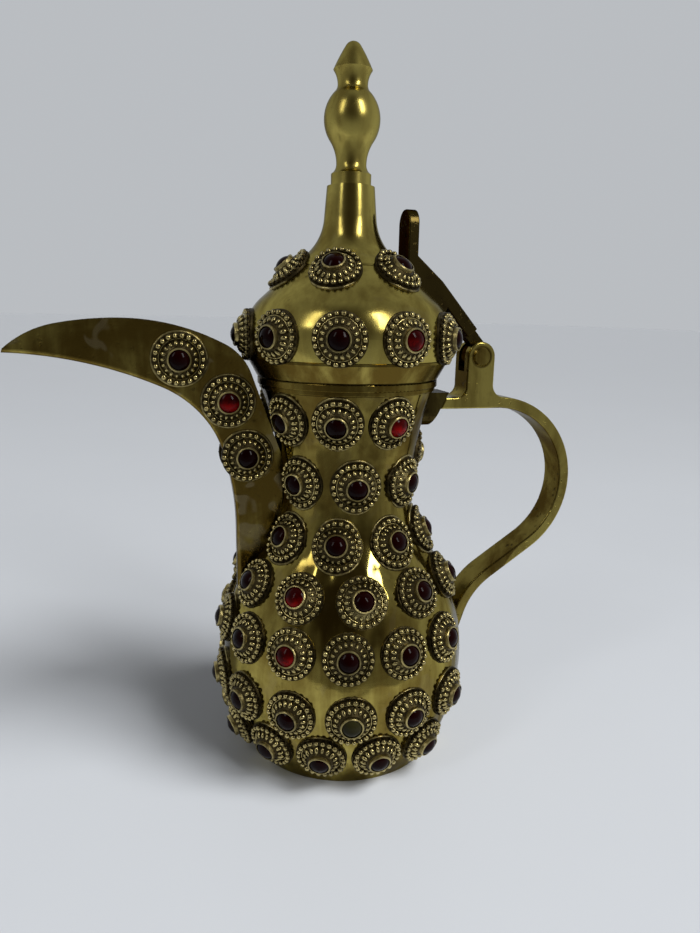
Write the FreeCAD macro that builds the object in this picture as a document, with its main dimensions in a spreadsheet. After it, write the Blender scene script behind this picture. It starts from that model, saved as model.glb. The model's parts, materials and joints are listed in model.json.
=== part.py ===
# Dallah coffee pot: a spun brass pot with an open beak spout, a strap handle and a hinged lid,
# set all over with round rosettes that each hold a glass stone.
# Millimetres. The origin is the centre of the base, +Z is up, the handle is at +X and the spout at -X.
import FreeCAD
import Part
import Sketcher

import math
import os

doc = FreeCAD.newDocument("dallah")

# Driving sizes: alias, value, meaning
SIZES = [
    ("solder_gap", 0.1, "joint left for solder between two pieces"),
    # Pot
    ("pot_wall", 1.5, "wall of the spun pot"),
    ("foot_radius", 45.3, "outside radius at the base"),
    ("belly_radius", 57.5, "widest radius of the belly"),
    ("belly_height", 45.0, "height of the widest part of the belly"),
    ("waist_radius", 31.0, "narrowest radius, between belly and neck"),
    ("waist_height", 125.0, "height of the waist"),
    ("neck_radius", 39.0, "outside radius of the neck's straight collar"),
    ("rim_height", 177.0, "height of the pot's rim"),
    ("collar_length", 5.5, "length of the neck's straight collar, below the rim"),
    ("base_thickness", 1.5, "thickness of the base plate"),
    ("band_inset", 0.3, "neck band's distance from the collar's two ends"),
    ("band_low_thickness", 0.9, "thickness of the neck band's lower step"),
    ("band_high_thickness", 1.7, "thickness of the neck band's upper step"),
    ("band_step", 1.8, "height of the neck band's lower step"),
    ("band_round", 0.4, "rounding of the neck band's edges"),
    ("port_width", 6.0, "width of the pour port behind the spout"),
    ("port_drop", 27.0, "upper end of the pour port below the rim"),
    ("port_length", 38.0, "length of the pour port"),
    # Lid
    ("lid_wall", 1.5, "wall of the lid's pieces"),
    ("lid_gap", 0.3, "gap between the rim and the closed lid"),
    ("flange_height", 8.0, "height of the lid's flange"),
    ("flange_overhang", 2.0, "flange's lower edge beyond the neck"),
    ("flange_lip", 0.4, "flange's upper edge beyond the dome's foot"),
    ("flange_lip_height", 1.0, "height of the flange's straight lip"),
    ("flange_seat", 3.4, "width of the flange's upper face"),
    ("plug_clearance", 1.0, "plug ring's clearance in the neck"),
    ("plug_depth", 4.0, "plug ring's depth below the flange"),
    ("plug_hold", 4.0, "length of the plug ring held in the flange"),
    ("dome_radius", 46.0, "widest radius of the dome"),
    ("dome_rise", 9.7, "height of the dome's widest part above the flange"),
    ("dome_lower_arc", 30.0, "radius of the arc below the dome's widest part"),
    ("dome_shoulder_arc", 21.0, "radius of the arc above it"),
    ("dome_slope", 47.7, "angle through which that arc turns before the cone"),
    ("dome_hole_radius", 14.5, "hole at the dome's top, under the stem"),
    ("stem_foot_radius", 24.0, "outer edge of the stem's foot on the dome"),
    ("stem_foot_thickness", 0.6, "thickness of the stem's foot"),
    ("stem_flare_start", 18.6, "radius where the foot flares up into the stem"),
    ("stem_flare_arc", 22.0, "radius of the flare's arc"),
    ("stem_taper", 4.7, "angle of the stem's taper"),
    ("stem_rise", 63.0, "height of the stem's top above the dome's widest part"),
    ("stem_bore", 8.0, "radius of the stem's hollow"),
    ("stem_cap", 8.0, "thickness of the stem's closed top"),
    ("spigot_radius", 4.0, "radius of the finial's spigot"),
    ("spigot_fit", 0.05, "spigot's radial fit in the stem"),
    ("finial_collar_radius", 8.7, "radius of the finial's collar"),
    ("finial_collar_height", 5.0, "height of the collar"),
    ("finial_neck_radius", 6.5, "radius of the neck above the collar"),
    ("finial_neck_rise", 9.0, "height of that neck above the stem"),
    ("finial_bulb_radius", 12.0, "widest radius of the bulb"),
    ("finial_bulb_rise", 26.8, "height of the bulb's widest part above the stem"),
    ("finial_bulb_arc", 15.0, "radius of the bulb's arc"),
    ("finial_waist_radius", 6.4, "radius of the waist below the spear"),
    ("finial_waist_rise", 40.3, "height of that waist above the stem"),
    ("finial_spear_radius", 8.25, "widest radius of the spear"),
    ("finial_spear_rise", 46.0, "height of the spear's edge above the stem"),
    ("finial_spear_arc", 69.0, "radius of the spear's side"),
    ("finial_tip_radius", 3.8, "radius of the rounded tip"),
    ("finial_tip_slope", 33.0, "angle above level at which the tip's rounding starts"),
    ("finial_tip_rise", 57.0, "height of the tip above the stem"),
    # Handle and hinge
    ("strap_width", 14.6, "width of the handle's strap"),
    ("strap_thickness", 5.3, "thickness of the strap"),
    ("strap_round", 0.8, "rounding of the strap's edges"),
    ("arm_drop", 10.0, "top of the handle's arm below the rim"),
    ("loop_share", 0.35, "outside radius of the handle's loop, as a share of the handle's height"),
    ("loop_reach", 34.3, "centre of the loop beyond the neck's radius"),
    ("loop_end", 56.0, "angle below level at which the loop ends"),
    ("return_radius", 34.0, "outside radius of the bend back to the belly"),
    ("foot_steepness", 72.0, "slope of the strap's last run"),
    ("handle_foot_height", 47.0, "height of the strap's end on the belly"),
    ("handle_foot_lip", 0.8, "thickness of the strap's end"),
    ("saddle_height", 16.0, "height of the saddle plate"),
    ("saddle_over", 2.5, "saddle's top above the arm"),
    ("saddle_reach", 0.5, "saddle's front beyond the neck's radius, at its lower end"),
    ("saddle_lean", 26.6, "angle of the saddle's front"),
    ("saddle_round", 6.8, "rounding of the saddle's lower corners"),
    ("pin_reach", 24.3, "hinge pin beyond the neck's radius"),
    ("pin_rise", 9.0, "hinge pin above the rim"),
    ("pin_radius", 3.0, "radius of the hinge pin"),
    ("pin_fit", 0.06, "knuckle's radial clearance on the pin"),
    ("pin_press", 0.02, "pin's radial fit in the ears"),
    ("pin_head_radius", 4.6, "radius of the pin's riveted heads"),
    ("pin_head_height", 0.9, "height of the heads"),
    ("pin_head_bevel", 0.8, "bevel of the heads"),
    ("ear_radius", 6.9, "radius of the clevis ears about the pin"),
    ("ear_front_fillet", 5.0, "fillet between ears and arm, lid side"),
    ("ear_back_fillet", 6.0, "fillet between ears and loop"),
    ("knuckle_radius", 6.2, "radius of the lever's knuckle"),
    ("knuckle_width", 6.4, "width of the knuckle"),
    ("knuckle_side_gap", 0.2, "gap on each side of the knuckle"),
    ("knuckle_under_gap", 0.8, "gap under the knuckle"),
    # Thumb lever
    ("lever_width", 14.0, "width of the lever's strap"),
    ("lever_thickness", 5.5, "thickness of the lever's strap"),
    ("lever_shoulder", 11.5, "length of the narrow part from the pin"),
    ("lever_bend_inset", 3.8, "lever's bend inside the dome's widest radius"),
    ("lever_bend_rise", 24.5, "lever's bend above the dome's widest part"),
    ("lever_slope", 40.9, "slope of the lever beyond its bend"),
    ("lever_run", 12.4, "level length of the lever beyond its bend"),
    ("lever_heel_inset", 1.0, "lever's heel inside the dome's widest radius"),
    ("lever_round", 0.6, "rounding of the lever's edges"),
    ("tab_thickness", 4.8, "thickness of the thumb tab"),
    ("tab_rise", 55.3, "top of the thumb tab above the dome's widest part"),
    ("tab_round", 6.6, "rounding of the tab's top corners"),
    # Spout
    ("spout_wall", 1.2, "wall of the spout"),
    ("spout_root_width", 14.0, "width of the spout where its rim meets the neck"),
    ("spout_flare", 3.2, "angle of each side to the spout's middle plane"),
    ("spout_flare_direction", 48.4, "slope of the line along which the spout widens"),
    ("spout_keel_round", 1.8, "rounding of the keel's edges"),
    ("spout_heel_reach", 12.4, "foot of the keel beyond the neck's radius"),
    ("spout_foot_rise", 25.0, "keel's lower end, inside the belly, above the belly's widest part"),
    ("spout_depth", 69.0, "from the pot's rim down to where the keel starts to curve"),
    ("spout_heel_arc", 120.0, "radius of the keel's first bend"),
    ("spout_heel_slope", 72.0, "slope of the keel after its first bend"),
    ("spout_elbow_arc", 46.0, "radius of the keel's elbow"),
    ("spout_elbow_slope", 24.0, "slope of the keel after its elbow"),
    ("spout_beak_arc", 164.0, "radius of the keel under the beak"),
    ("spout_beak_slope", 2.0, "slope of the keel at the tip"),
    ("spout_crest_reach", 59.0, "highest part of the rim beyond the neck's radius"),
    ("spout_crest_rise", 24.2, "highest part of the rim above the pot's rim"),
    ("spout_back_arc", 94.0, "radius of the spout's rim from crest towards the neck"),
    ("spout_back_slope", 26.5, "slope of the spout's rim after that arc"),
    ("spout_root_arc", 23.0, "radius of the spout's rim near the neck"),
    ("spout_root_slope", 70.0, "slope of the spout's rim at the neck"),
    ("spout_front_arc", 130.0, "radius of the spout's rim from crest towards the tip"),
    ("spout_front_slope", 10.6, "slope of the spout's rim after that arc"),
    ("spout_tip_arc", 42.0, "radius of the spout's rim at the tip"),
    ("spout_tip_slope", 42.5, "slope of the spout's rim at the tip"),
    # Rosettes, bezels and stones
    ("rosette_radius", 11.2, "radius of a rosette"),
    ("rosette_edge", 0.9, "thickness of a rosette's sheet, which is bent to the wall"),
    ("ridge_radius", 9.75, "radius of the raised ring that carries a rosette's beads"),
    ("ridge_width", 1.8, "width of that ring"),
    ("ridge_height", 0.7, "height of that ring above the sheet"),
    ("rosette_rise_radius", 8.4, "radius where a rosette starts to rise from its sheet"),
    ("rosette_top_radius", 5.2, "radius of a rosette's flat top"),
    ("rosette_top_height", 3.8, "height of a rosette's flat top"),
    ("rosette_root", 6.0, "depth to which a rosette is cut to fit a curved wall"),
    ("bezel_radius", 5.0, "outside radius of a bezel"),
    ("bezel_wall", 0.65, "wall of a bezel"),
    ("bezel_height", 1.6, "height of a bezel"),
    ("stone_fit", 0.1, "stone's gap in its bezel"),
    ("stone_bed", 0.05, "stone's gap above its rosette"),
    ("stone_girdle", 1.05, "height of a stone's straight girdle"),
    ("stone_dome", 1.8, "height of a stone's domed top"),
    # Rows of rosettes
    ("foot_row_height", 17.3, "height of the row above the base"),
    ("belly_row_height", 37.3, "height of the row round the belly"),
    ("upper_belly_row_height", 64.5, "height of the row above that"),
    ("shoulder_row_height", 86.3, "height of the row round the shoulder"),
    ("upper_shoulder_row_height", 106.4, "height of the row above that"),
    ("waist_row_height", 132.3, "height of the row above the waist"),
    ("neck_row_gap", 0.3, "gap between the neck's row and its collar"),
    ("saddle_rosette_gap", 1.3, "gap between the saddle and the rosette under it"),
    ("upper_lid_row_rise", 27.0, "height of the lid's upper row above the dome's widest part"),
]

# Rows of rosettes in pairs: name, azimuth of the last pair, step, pairs (azimuth 0 is the handle)
POT_ROWS = [
    ("foot_row", 166.8, 26.2, 5),
    ("belly_row", 180.0, 26.28, 6),
    ("upper_belly_row", 180.0, 25.72, 6),
    ("shoulder_row", 161.6, 32.9, 5),
    ("upper_shoulder_row", 152.5, 42.0, 4),
    ("waist_row", 144.0, 47.0, 3),
    ("neck_row", 150.5, 39.0, 3),
]
LID_ROWS = [
    ("lid_row", 180.0, 35.25, 5),
    ("upper_lid_row", 180.0, 62.0, 3),
]

# Rosettes on the spout's sides: reach beyond the neck's radius, rise above the pot's rim
SPOUT_ROSETTES = [(35.7, 7.8), (15.6, -10.2), (7.9, -34.7)]

# Largest rounding of the keel's edges, as a share of the spout's half width there
KEEL_ROUND_LIMIT = 0.85

LEFT = 1
RIGHT = -1


class Size:
    """A number together with the sheet expression that it comes from."""

    def __init__(self, value, text=None):
        self.value = float(value)
        self.text = text or repr(self.value)

    def __float__(self):
        return self.value

    def __add__(self, other):
        other = as_size(other)
        return Size(self.value + other.value, f"({self.text} + {other.text})")

    def __sub__(self, other):
        other = as_size(other)
        return Size(self.value - other.value, f"({self.text} - {other.text})")

    def __mul__(self, other):
        other = as_size(other)
        return Size(self.value * other.value, f"({self.text} * {other.text})")

    def __truediv__(self, other):
        other = as_size(other)
        return Size(self.value / other.value, f"({self.text} / {other.text})")

    def __rsub__(self, other):
        return as_size(other) - self

    __radd__ = __add__
    __rmul__ = __mul__


def as_size(number):
    return number if isinstance(number, Size) else Size(number)


def root(size):
    return Size(math.sqrt(size.value), f"sqrt({size.text})")


def sine(angle):
    return Size(math.sin(math.radians(angle.value)), f"sin({angle.text})")


def cosine(angle):
    return Size(math.cos(math.radians(angle.value)), f"cos({angle.text})")


class Sheet:
    """A spreadsheet whose cells are read as sizes, by alias."""

    def __init__(self, name):
        self.cells = doc.addObject("Spreadsheet::Sheet", name)
        self.name = name
        self.rows = 0

    def add(self, alias, content, value, meaning):
        self.rows += 1
        self.cells.set(f"A{self.rows}", meaning)
        self.cells.set(f"B{self.rows}", content)
        self.cells.setAlias(f"B{self.rows}", alias)
        return Size(value, f"{self.name}.{alias}")


class Sizes:
    """Every driving size as an attribute."""


sheet = Sheet("Sizes")
worked = Sheet("Worked")
dim = Sizes()
for alias, value, meaning in SIZES:
    setattr(dim, alias, sheet.add(alias, str(value), value, meaning))


def work_out(alias, size, meaning):
    """Keep a worked-out size in its own sheet, so that expressions stay short."""
    return worked.add(alias, "=" + size.text, size.value, meaning)


class Outline:
    """A chain of straight lines and arcs through corners given in sheet sizes."""

    def __init__(self, across, up):
        self.corners = [(as_size(across), as_size(up))]
        self.steps = []

    def line(self, across, up):
        self.corners.append((as_size(across), as_size(up)))
        self.steps.append(None)
        return self

    def arc(self, across, up, radius, turn):
        self.corners.append((as_size(across), as_size(up)))
        self.steps.append((as_size(radius), turn))
        return self

    def arc_home(self, radius, turn):
        """Close the chain with an arc back to its first corner."""
        self.steps.append((as_size(radius), turn))
        return self

    def then(self, other):
        """Go straight to another chain's start, and along it."""
        self.corners += other.corners
        self.steps += [None] + other.steps
        return self

    def backwards(self):
        back = Outline(*self.corners[-1])
        back.corners = self.corners[::-1]
        back.steps = [step and (step[0], -step[1]) for step in self.steps[::-1]]
        return back

    def draw(self, sketch):
        """Draw the closed chain and bind each corner and radius to the sheet."""
        steps = self.steps + [None] * (len(self.corners) - len(self.steps))
        ends = []
        for index, step in enumerate(steps):
            start = flat_point(self.corners[index])
            stop = flat_point(self.corners[(index + 1) % len(steps)])
            if step is None:
                sketch.addGeometry(Part.LineSegment(start, stop))
            else:
                sketch.addGeometry(arc_between(start, stop, float(step[0]), step[1]))
            ends.append((2, 1) if step and step[1] == RIGHT else (1, 2))
        for index, step in enumerate(steps):
            following = (index + 1) % len(steps)
            join = ("Coincident", index, ends[index][1], following, ends[following][0])
            sketch.addConstraint(Sketcher.Constraint(*join))
            bind_point(sketch, index, ends[index][0], self.corners[index])
            if step is not None:
                number = sketch.addConstraint(Sketcher.Constraint("Radius", index, float(step[0])))
                sketch.setExpression(f"Constraints[{number}]", step[0].text)


def flat_point(corner):
    return FreeCAD.Vector(float(corner[0]), float(corner[1]), 0)


def arc_between(start, stop, radius, turn):
    """The arc of less than half a circle that turns left or right from start to stop."""
    chord = stop - start
    across = FreeCAD.Vector(-chord.y, chord.x, 0).normalize()
    depth = math.sqrt(radius ** 2 - (chord.Length / 2) ** 2)
    centre = start + chord / 2 + across * depth * turn
    first, last = (start, stop) if turn == LEFT else (stop, start)
    angles = [math.atan2(point.y - centre.y, point.x - centre.x) for point in (first, last)]
    return Part.ArcOfCircle(Part.Circle(centre, FreeCAD.Vector(0, 0, 1), radius), *angles)


def bind_point(sketch, edge, end, corner):
    """Place a sketch point by its two coordinates, each bound to its expression."""
    for kind, axis, size in (("DistanceX", -2, corner[0]), ("DistanceY", -1, corner[1])):
        if size.value == 0:
            sketch.addConstraint(Sketcher.Constraint("PointOnObject", edge, end, axis))
        elif size.value > 0:
            number = sketch.addConstraint(Sketcher.Constraint(kind, -1, 1, edge, end, size.value))
            sketch.setExpression(f"Constraints[{number}]", size.text)
        else:
            number = sketch.addConstraint(Sketcher.Constraint(kind, edge, end, -1, 1, -size.value))
            sketch.setExpression(f"Constraints[{number}]", f"0 - {size.text}")


def new_body(label):
    body = doc.addObject("PartDesign::Body", label)
    body.Label = label
    return body


def new_sketch(body, plane, name):
    sketch = body.newObject("Sketcher::SketchObject", name)
    support = [face for face in body.Origin.OriginFeatures if face.Role == plane][0]
    sketch.AttachmentSupport = [(support, "")]
    sketch.MapMode = "FlatFace"
    return sketch


def turned(label, outline):
    """A piece turned about the pot's axis from its half section."""
    body = new_body(label)
    sketch = new_sketch(body, "XZ_Plane", label + "_section")
    outline.draw(sketch)
    turning = body.newObject("PartDesign::Revolution", label + "_turning")
    turning.Profile = sketch
    turning.ReferenceAxis = (sketch, ["V_Axis"])
    turning.Angle = 360
    doc.recompute()
    return body


def both_ways(body, kind, outline, width, name):
    """A pad or pocket of an outline in the handle's plane, to both sides of it."""
    sketch = new_sketch(body, "XZ_Plane", name + "_outline")
    outline.draw(sketch)
    return finish_both_ways(body, kind, sketch, width, name)


def finish_both_ways(body, kind, sketch, width, name):
    feature = body.newObject("PartDesign::" + kind, name)
    feature.Profile = sketch
    feature.SideType = "Symmetric"
    feature.Length = float(width)
    feature.setExpression("Length", width.text)
    doc.recompute()
    return feature


def cross_bore(body, across, up, radius, width, name):
    """A round hole across the handle's plane."""
    sketch = new_sketch(body, "XZ_Plane", name + "_outline")
    centre = flat_point((across, up))
    sketch.addGeometry(Part.Circle(centre, FreeCAD.Vector(0, 0, 1), float(radius)))
    bind_point(sketch, 0, 3, (across, up))
    number = sketch.addConstraint(Sketcher.Constraint("Radius", 0, float(radius)))
    sketch.setExpression(f"Constraints[{number}]", radius.text)
    return finish_both_ways(body, "Pocket", sketch, width, name)


def round_edges(body, base, radius, wanted, name):
    """Fillet the edges of a feature for which wanted(edge) is true."""
    edges = [f"Edge{n}" for n, edge in enumerate(base.Shape.Edges, 1) if wanted(edge)]
    fillet = body.newObject("PartDesign::Fillet", name)
    fillet.Base = (base, edges)
    fillet.Radius = float(radius)
    fillet.setExpression("Radius", radius.text)
    doc.recompute()
    return fillet


def on_sides(edge, half_width):
    """True for an edge that lies in one of the two flat sides of a symmetric pad."""
    ends = [vertex.Y for vertex in edge.Vertexes] + [edge.CenterOfMass.y]
    return all(abs(abs(y) - half_width) < 1e-4 and y * ends[0] > 0 for y in ends)


def boolean(kind, label, base, tool):
    result = doc.addObject("Part::" + kind, label)
    result.Label = label
    result.Base = base
    result.Tool = tool
    doc.recompute()
    return result


# Pot: worked-out sizes of its side
belly_bulge = dim.belly_radius - dim.foot_radius
belly_arc = work_out(
    "belly_arc",
    (belly_bulge * belly_bulge + dim.belly_height * dim.belly_height) / (2 * belly_bulge),
    "radius of the belly's arc",
)
belly_centre = work_out("belly_centre", dim.belly_radius - belly_arc, "radius of that arc's centre")


def cove_arc(bulge_centre, bulge_arc, rise, waist):
    """Radius of the hollow arc, upright at a waist, that runs smoothly into a bulging arc."""
    span = waist - bulge_centre
    return (span * span + rise * rise - bulge_arc * bulge_arc) / (2 * (bulge_arc - span))


shoulder_rise = dim.waist_height - dim.belly_height
shoulder_arc = work_out(
    "shoulder_arc",
    cove_arc(belly_centre, belly_arc, shoulder_rise, dim.waist_radius),
    "radius of the shoulder's hollow arc",
)
shoulder_across = work_out(
    "shoulder_across",
    (dim.waist_radius + shoulder_arc - belly_centre) / (belly_arc + shoulder_arc),
    "level part of the unit normal where belly meets shoulder",
)
shoulder_up = work_out(
    "shoulder_up",
    shoulder_rise / (belly_arc + shoulder_arc),
    "upright part of that normal",
)
collar_height = work_out(
    "collar_height",
    dim.rim_height - dim.collar_length,
    "height where the flared neck turns straight",
)
neck_flare = dim.neck_radius - dim.waist_radius
neck_rise = collar_height - dim.waist_height
neck_arc = work_out(
    "neck_arc",
    (neck_flare * neck_flare + neck_rise * neck_rise) / (2 * neck_flare),
    "radius of the neck's hollow arc",
)


def belly_at(height, offset):
    """Radius of the belly's arc at a height, set off from its outside."""
    reach = belly_arc + offset
    drop = height - dim.belly_height
    return belly_centre + root(reach * reach - drop * drop)


def collar_radius(offset):
    reach = neck_arc - offset
    return dim.waist_radius + neck_arc - root(reach * reach - neck_rise * neck_rise)


def pot_side(offset):
    """The pot's side from base to rim, set off from its outside."""
    reach = belly_arc + offset
    side = Outline(belly_at(as_size(0), offset), 0)
    side.arc(belly_centre + reach * shoulder_across, dim.belly_height + reach * shoulder_up, reach, LEFT)
    side.arc(dim.waist_radius + offset, dim.waist_height, shoulder_arc - offset, RIGHT)
    side.arc(collar_radius(offset), collar_height, neck_arc - offset, RIGHT)
    side.line(collar_radius(offset), dim.rim_height)
    return side


def make_body_shell():
    section = pot_side(as_size(0)).then(pot_side(0 - dim.pot_wall).backwards())
    body = turned("body_shell", section)
    half = dim.port_width / 2
    top = dim.rim_height - dim.port_drop
    bottom = top - dim.port_length
    port = Outline(0 - half, bottom + half).arc(0, bottom, half, LEFT).arc(half, bottom + half, half, LEFT)
    port.line(half, top - half).arc(0, top, half, LEFT).arc(0 - half, top - half, half, LEFT)
    sketch = new_sketch(body, "YZ_Plane", "pour_port_outline")
    port.draw(sketch)
    before = body.Shape.Volume
    pocket = body.newObject("PartDesign::Pocket", "pour_port")
    pocket.Profile = sketch
    pocket.Length = float(dim.belly_radius)
    pocket.setExpression("Length", dim.belly_radius.text)
    doc.recompute()
    cut_side = body.Shape.Solids[0].CenterOfMass.x
    if body.Shape.Volume >= before or cut_side <= 0:
        raise RuntimeError("the pour port doesn't cut the spout's side of the neck")
    return body


def make_base_plate():
    offset = 0 - dim.pot_wall - dim.solder_gap
    plate = Outline(0, 0).line(belly_at(as_size(0), offset), 0)
    plate.arc(belly_at(dim.base_thickness, offset), dim.base_thickness, belly_arc + offset, LEFT)
    plate.line(0, dim.base_thickness)
    return turned("base_plate", plate)


band_low = collar_height + dim.band_inset
band_high = dim.rim_height - dim.band_inset
band_outside = dim.neck_radius + dim.band_high_thickness


def make_neck_band():
    inside = dim.neck_radius + dim.solder_gap
    ledge = dim.neck_radius + dim.band_low_thickness
    step = band_low + dim.band_step
    soft = dim.band_round
    ring = Outline(inside, band_low).line(ledge - soft, band_low).arc(ledge, band_low + soft, soft, LEFT)
    ring.line(ledge, step).line(band_outside - soft, step).arc(band_outside, step + soft, soft, LEFT)
    ring.line(band_outside, band_high - soft).arc(band_outside - soft, band_high, soft, LEFT)
    ring.line(inside, band_high)
    return turned("neck_band", ring)


def pot_within(label, offset):
    """All that lies within the pot's outside, set off from it."""
    return turned(label, Outline(0, 0).then(pot_side(offset)).line(0, dim.rim_height))


def make_pot_envelope():
    """The solid that is cut from pieces soldered to the pot, its outside and the solder gap."""
    wall = pot_within("pot_envelope", dim.solder_gap)
    reach = band_outside + dim.solder_gap
    ring = Outline(0, band_low - dim.solder_gap).line(reach, band_low - dim.solder_gap)
    ring.line(reach, dim.rim_height).line(0, dim.rim_height)
    return boolean("Fuse", "pot_and_band_envelope", wall, turned("band_envelope", ring))


# Lid: worked-out heights and points of its side
lid_seat = work_out("lid_seat", dim.rim_height + dim.lid_gap, "height of the closed lid's underside")
flange_top = work_out("flange_top", lid_seat + dim.flange_height, "height of the flange's top")
dome_middle = work_out("dome_middle", flange_top + dim.dome_rise, "height of the dome's widest part")
stem_top = work_out("stem_top", dome_middle + dim.stem_rise, "height of the stem's top")
plug_radius = work_out(
    "plug_radius",
    collar_radius(0 - dim.pot_wall) - dim.plug_clearance,
    "outside radius of the plug ring",
)


def dome_foot(offset):
    reach = dim.dome_lower_arc + offset
    return dim.dome_radius - dim.dome_lower_arc + root(reach * reach - dim.dome_rise * dim.dome_rise)


def cone_height(radius, offset):
    """Height of the dome's cone at a radius, set off from its outside."""
    reach = dim.dome_shoulder_arc + offset
    start = dim.dome_radius - dim.dome_shoulder_arc + reach * cosine(dim.dome_slope)
    rise = (start - radius) * cosine(dim.dome_slope) / sine(dim.dome_slope)
    return dome_middle + reach * sine(dim.dome_slope) + rise


def dome_side(offset, end_radius):
    """The dome's side from the flange up to a radius on its cone, set off from its outside."""
    reach = dim.dome_shoulder_arc + offset
    side = Outline(dome_foot(offset), flange_top)
    side.arc(dim.dome_radius + offset, dome_middle, dim.dome_lower_arc + offset, LEFT)
    start = dim.dome_radius - dim.dome_shoulder_arc + reach * cosine(dim.dome_slope)
    side.arc(start, dome_middle + reach * sine(dim.dome_slope), reach, LEFT)
    side.line(end_radius, cone_height(end_radius, offset))
    return side


flange_outside = work_out(
    "flange_outside",
    dome_foot(as_size(0)) + dim.flange_lip,
    "outside radius of the flange's lip",
)


def flange_side(offset):
    """The flange's outside from its lower edge to its lip, set off from it."""
    side = Outline(dim.neck_radius + dim.flange_overhang + offset, lid_seat)
    side.line(flange_outside + offset, flange_top - dim.flange_lip_height)
    side.line(flange_outside + offset, flange_top)
    return side


def make_lid_flange():
    inside = plug_radius + dim.solder_gap
    ring = Outline(inside, lid_seat).then(flange_side(as_size(0)))
    ring.line(flange_outside - dim.flange_seat, flange_top).line(inside, lid_seat + dim.plug_hold)
    return turned("lid_flange", ring)


def make_lid_inner_ring():
    inside = plug_radius - dim.lid_wall
    low = lid_seat - dim.plug_depth
    high = lid_seat + dim.plug_hold
    ring = Outline(inside, low).line(plug_radius, low).line(plug_radius, high).line(inside, high)
    return turned("lid_inner_ring", ring)


def make_lid_dome():
    outside = dome_side(as_size(0), dim.dome_hole_radius)
    inside = dome_side(0 - dim.lid_wall, dim.dome_hole_radius)
    return turned("lid_dome", outside.then(inside.backwards()))


def stem_side(offset):
    """The stem's outside from its top down to the edge of its foot, set off from it."""
    lift = dim.solder_gap + dim.stem_foot_thickness + offset
    flare = dim.stem_flare_arc - offset
    start_up = cone_height(dim.stem_flare_start, dim.solder_gap + dim.stem_foot_thickness)
    centre = dim.stem_flare_start + dim.stem_flare_arc * cosine(dim.dome_slope)
    centre_up = start_up + dim.stem_flare_arc * sine(dim.dome_slope)
    taper = sine(dim.stem_taper) / cosine(dim.stem_taper)
    top = centre - flare * cosine(dim.stem_taper)
    top_up = centre_up - flare * sine(dim.stem_taper)
    foot = dim.stem_foot_radius + offset
    side = Outline(top - (stem_top - top_up) * taper, stem_top).line(top, top_up)
    side.arc(centre - flare * cosine(dim.dome_slope), centre_up - flare * sine(dim.dome_slope), flare, LEFT)
    side.line(foot, cone_height(foot, lift))
    return side


def make_lid_stem():
    hollow = dim.dome_hole_radius
    hole = dim.spigot_radius + dim.spigot_fit
    ceiling = stem_top - dim.stem_cap
    hollow_up = cone_height(hollow, dim.solder_gap)
    section = Outline(dim.stem_foot_radius, cone_height(dim.stem_foot_radius, dim.solder_gap))
    section.line(hollow, hollow_up).line(dim.stem_bore, hollow_up).line(dim.stem_bore, ceiling)
    section.line(hole, ceiling).line(hole, stem_top).then(stem_side(as_size(0)))
    return turned("lid_stem", section)


def make_finial():
    collar_up = stem_top + dim.finial_collar_height
    neck_up = stem_top + dim.finial_neck_rise
    bulb_up = stem_top + dim.finial_bulb_rise
    waist_up = stem_top + dim.finial_waist_rise
    spear_up = stem_top + dim.finial_spear_rise
    tip_up = stem_top + dim.finial_tip_rise
    bulb_centre = dim.finial_bulb_radius - dim.finial_bulb_arc

    def upright_arc(wide, narrow, rise):
        """Radius of an arc that is upright at its narrow end."""
        return ((wide - narrow) * (wide - narrow) + rise * rise) / (2 * (wide - narrow))

    def bulb_joint(waist, height):
        """Where the bulb's arc meets the hollow arc at a waist, and that arc's radius."""
        cove = cove_arc(bulb_centre, dim.finial_bulb_arc, height - bulb_up, waist)
        share = dim.finial_bulb_arc / (dim.finial_bulb_arc + cove)
        across = bulb_centre + (waist + cove - bulb_centre) * share
        return across, bulb_up + (height - bulb_up) * share, cove

    low_across, low_up, low_cove = bulb_joint(dim.finial_neck_radius, neck_up)
    high_across, high_up, high_cove = bulb_joint(dim.finial_waist_radius, waist_up)
    collar_cove = upright_arc(dim.finial_collar_radius, dim.finial_neck_radius, neck_up - collar_up)
    spear_cove = upright_arc(dim.finial_spear_radius, dim.finial_waist_radius, spear_up - waist_up)

    section = Outline(0, stem_top - dim.stem_cap).line(dim.spigot_radius, stem_top - dim.stem_cap)
    section.line(dim.spigot_radius, stem_top).line(dim.finial_collar_radius, stem_top)
    section.line(dim.finial_collar_radius, collar_up)
    section.arc(dim.finial_neck_radius, neck_up, collar_cove, RIGHT)
    section.arc(low_across, low_up, low_cove, RIGHT)
    section.arc(high_across, high_up, dim.finial_bulb_arc, LEFT)
    section.arc(dim.finial_waist_radius, waist_up, high_cove, RIGHT)
    section.arc(dim.finial_spear_radius, spear_up, spear_cove, RIGHT)
    tip_low = tip_up - dim.finial_tip_radius * (1 - sine(dim.finial_tip_slope))
    section.arc(dim.finial_tip_radius * cosine(dim.finial_tip_slope), tip_low, dim.finial_spear_arc, LEFT)
    section.arc(0, tip_up, dim.finial_tip_radius, LEFT)
    return turned("finial", section)


def lid_within(label, offset):
    """All that lies within the lid's outside, set off from it."""
    outside = flange_side(offset).then(dome_side(offset, dim.stem_bore))
    outside = Outline(0, lid_seat).then(outside).line(0, outside.corners[-1][1])
    stem = Outline(0, stem_top).then(stem_side(offset))
    foot = stem.corners[-1][0]
    bottom = cone_height(foot, as_size(0))
    stem.line(foot, bottom).line(0, bottom)
    return boolean("Fuse", label, turned(label + "_dome", outside), turned(label + "_stem", stem))


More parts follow.
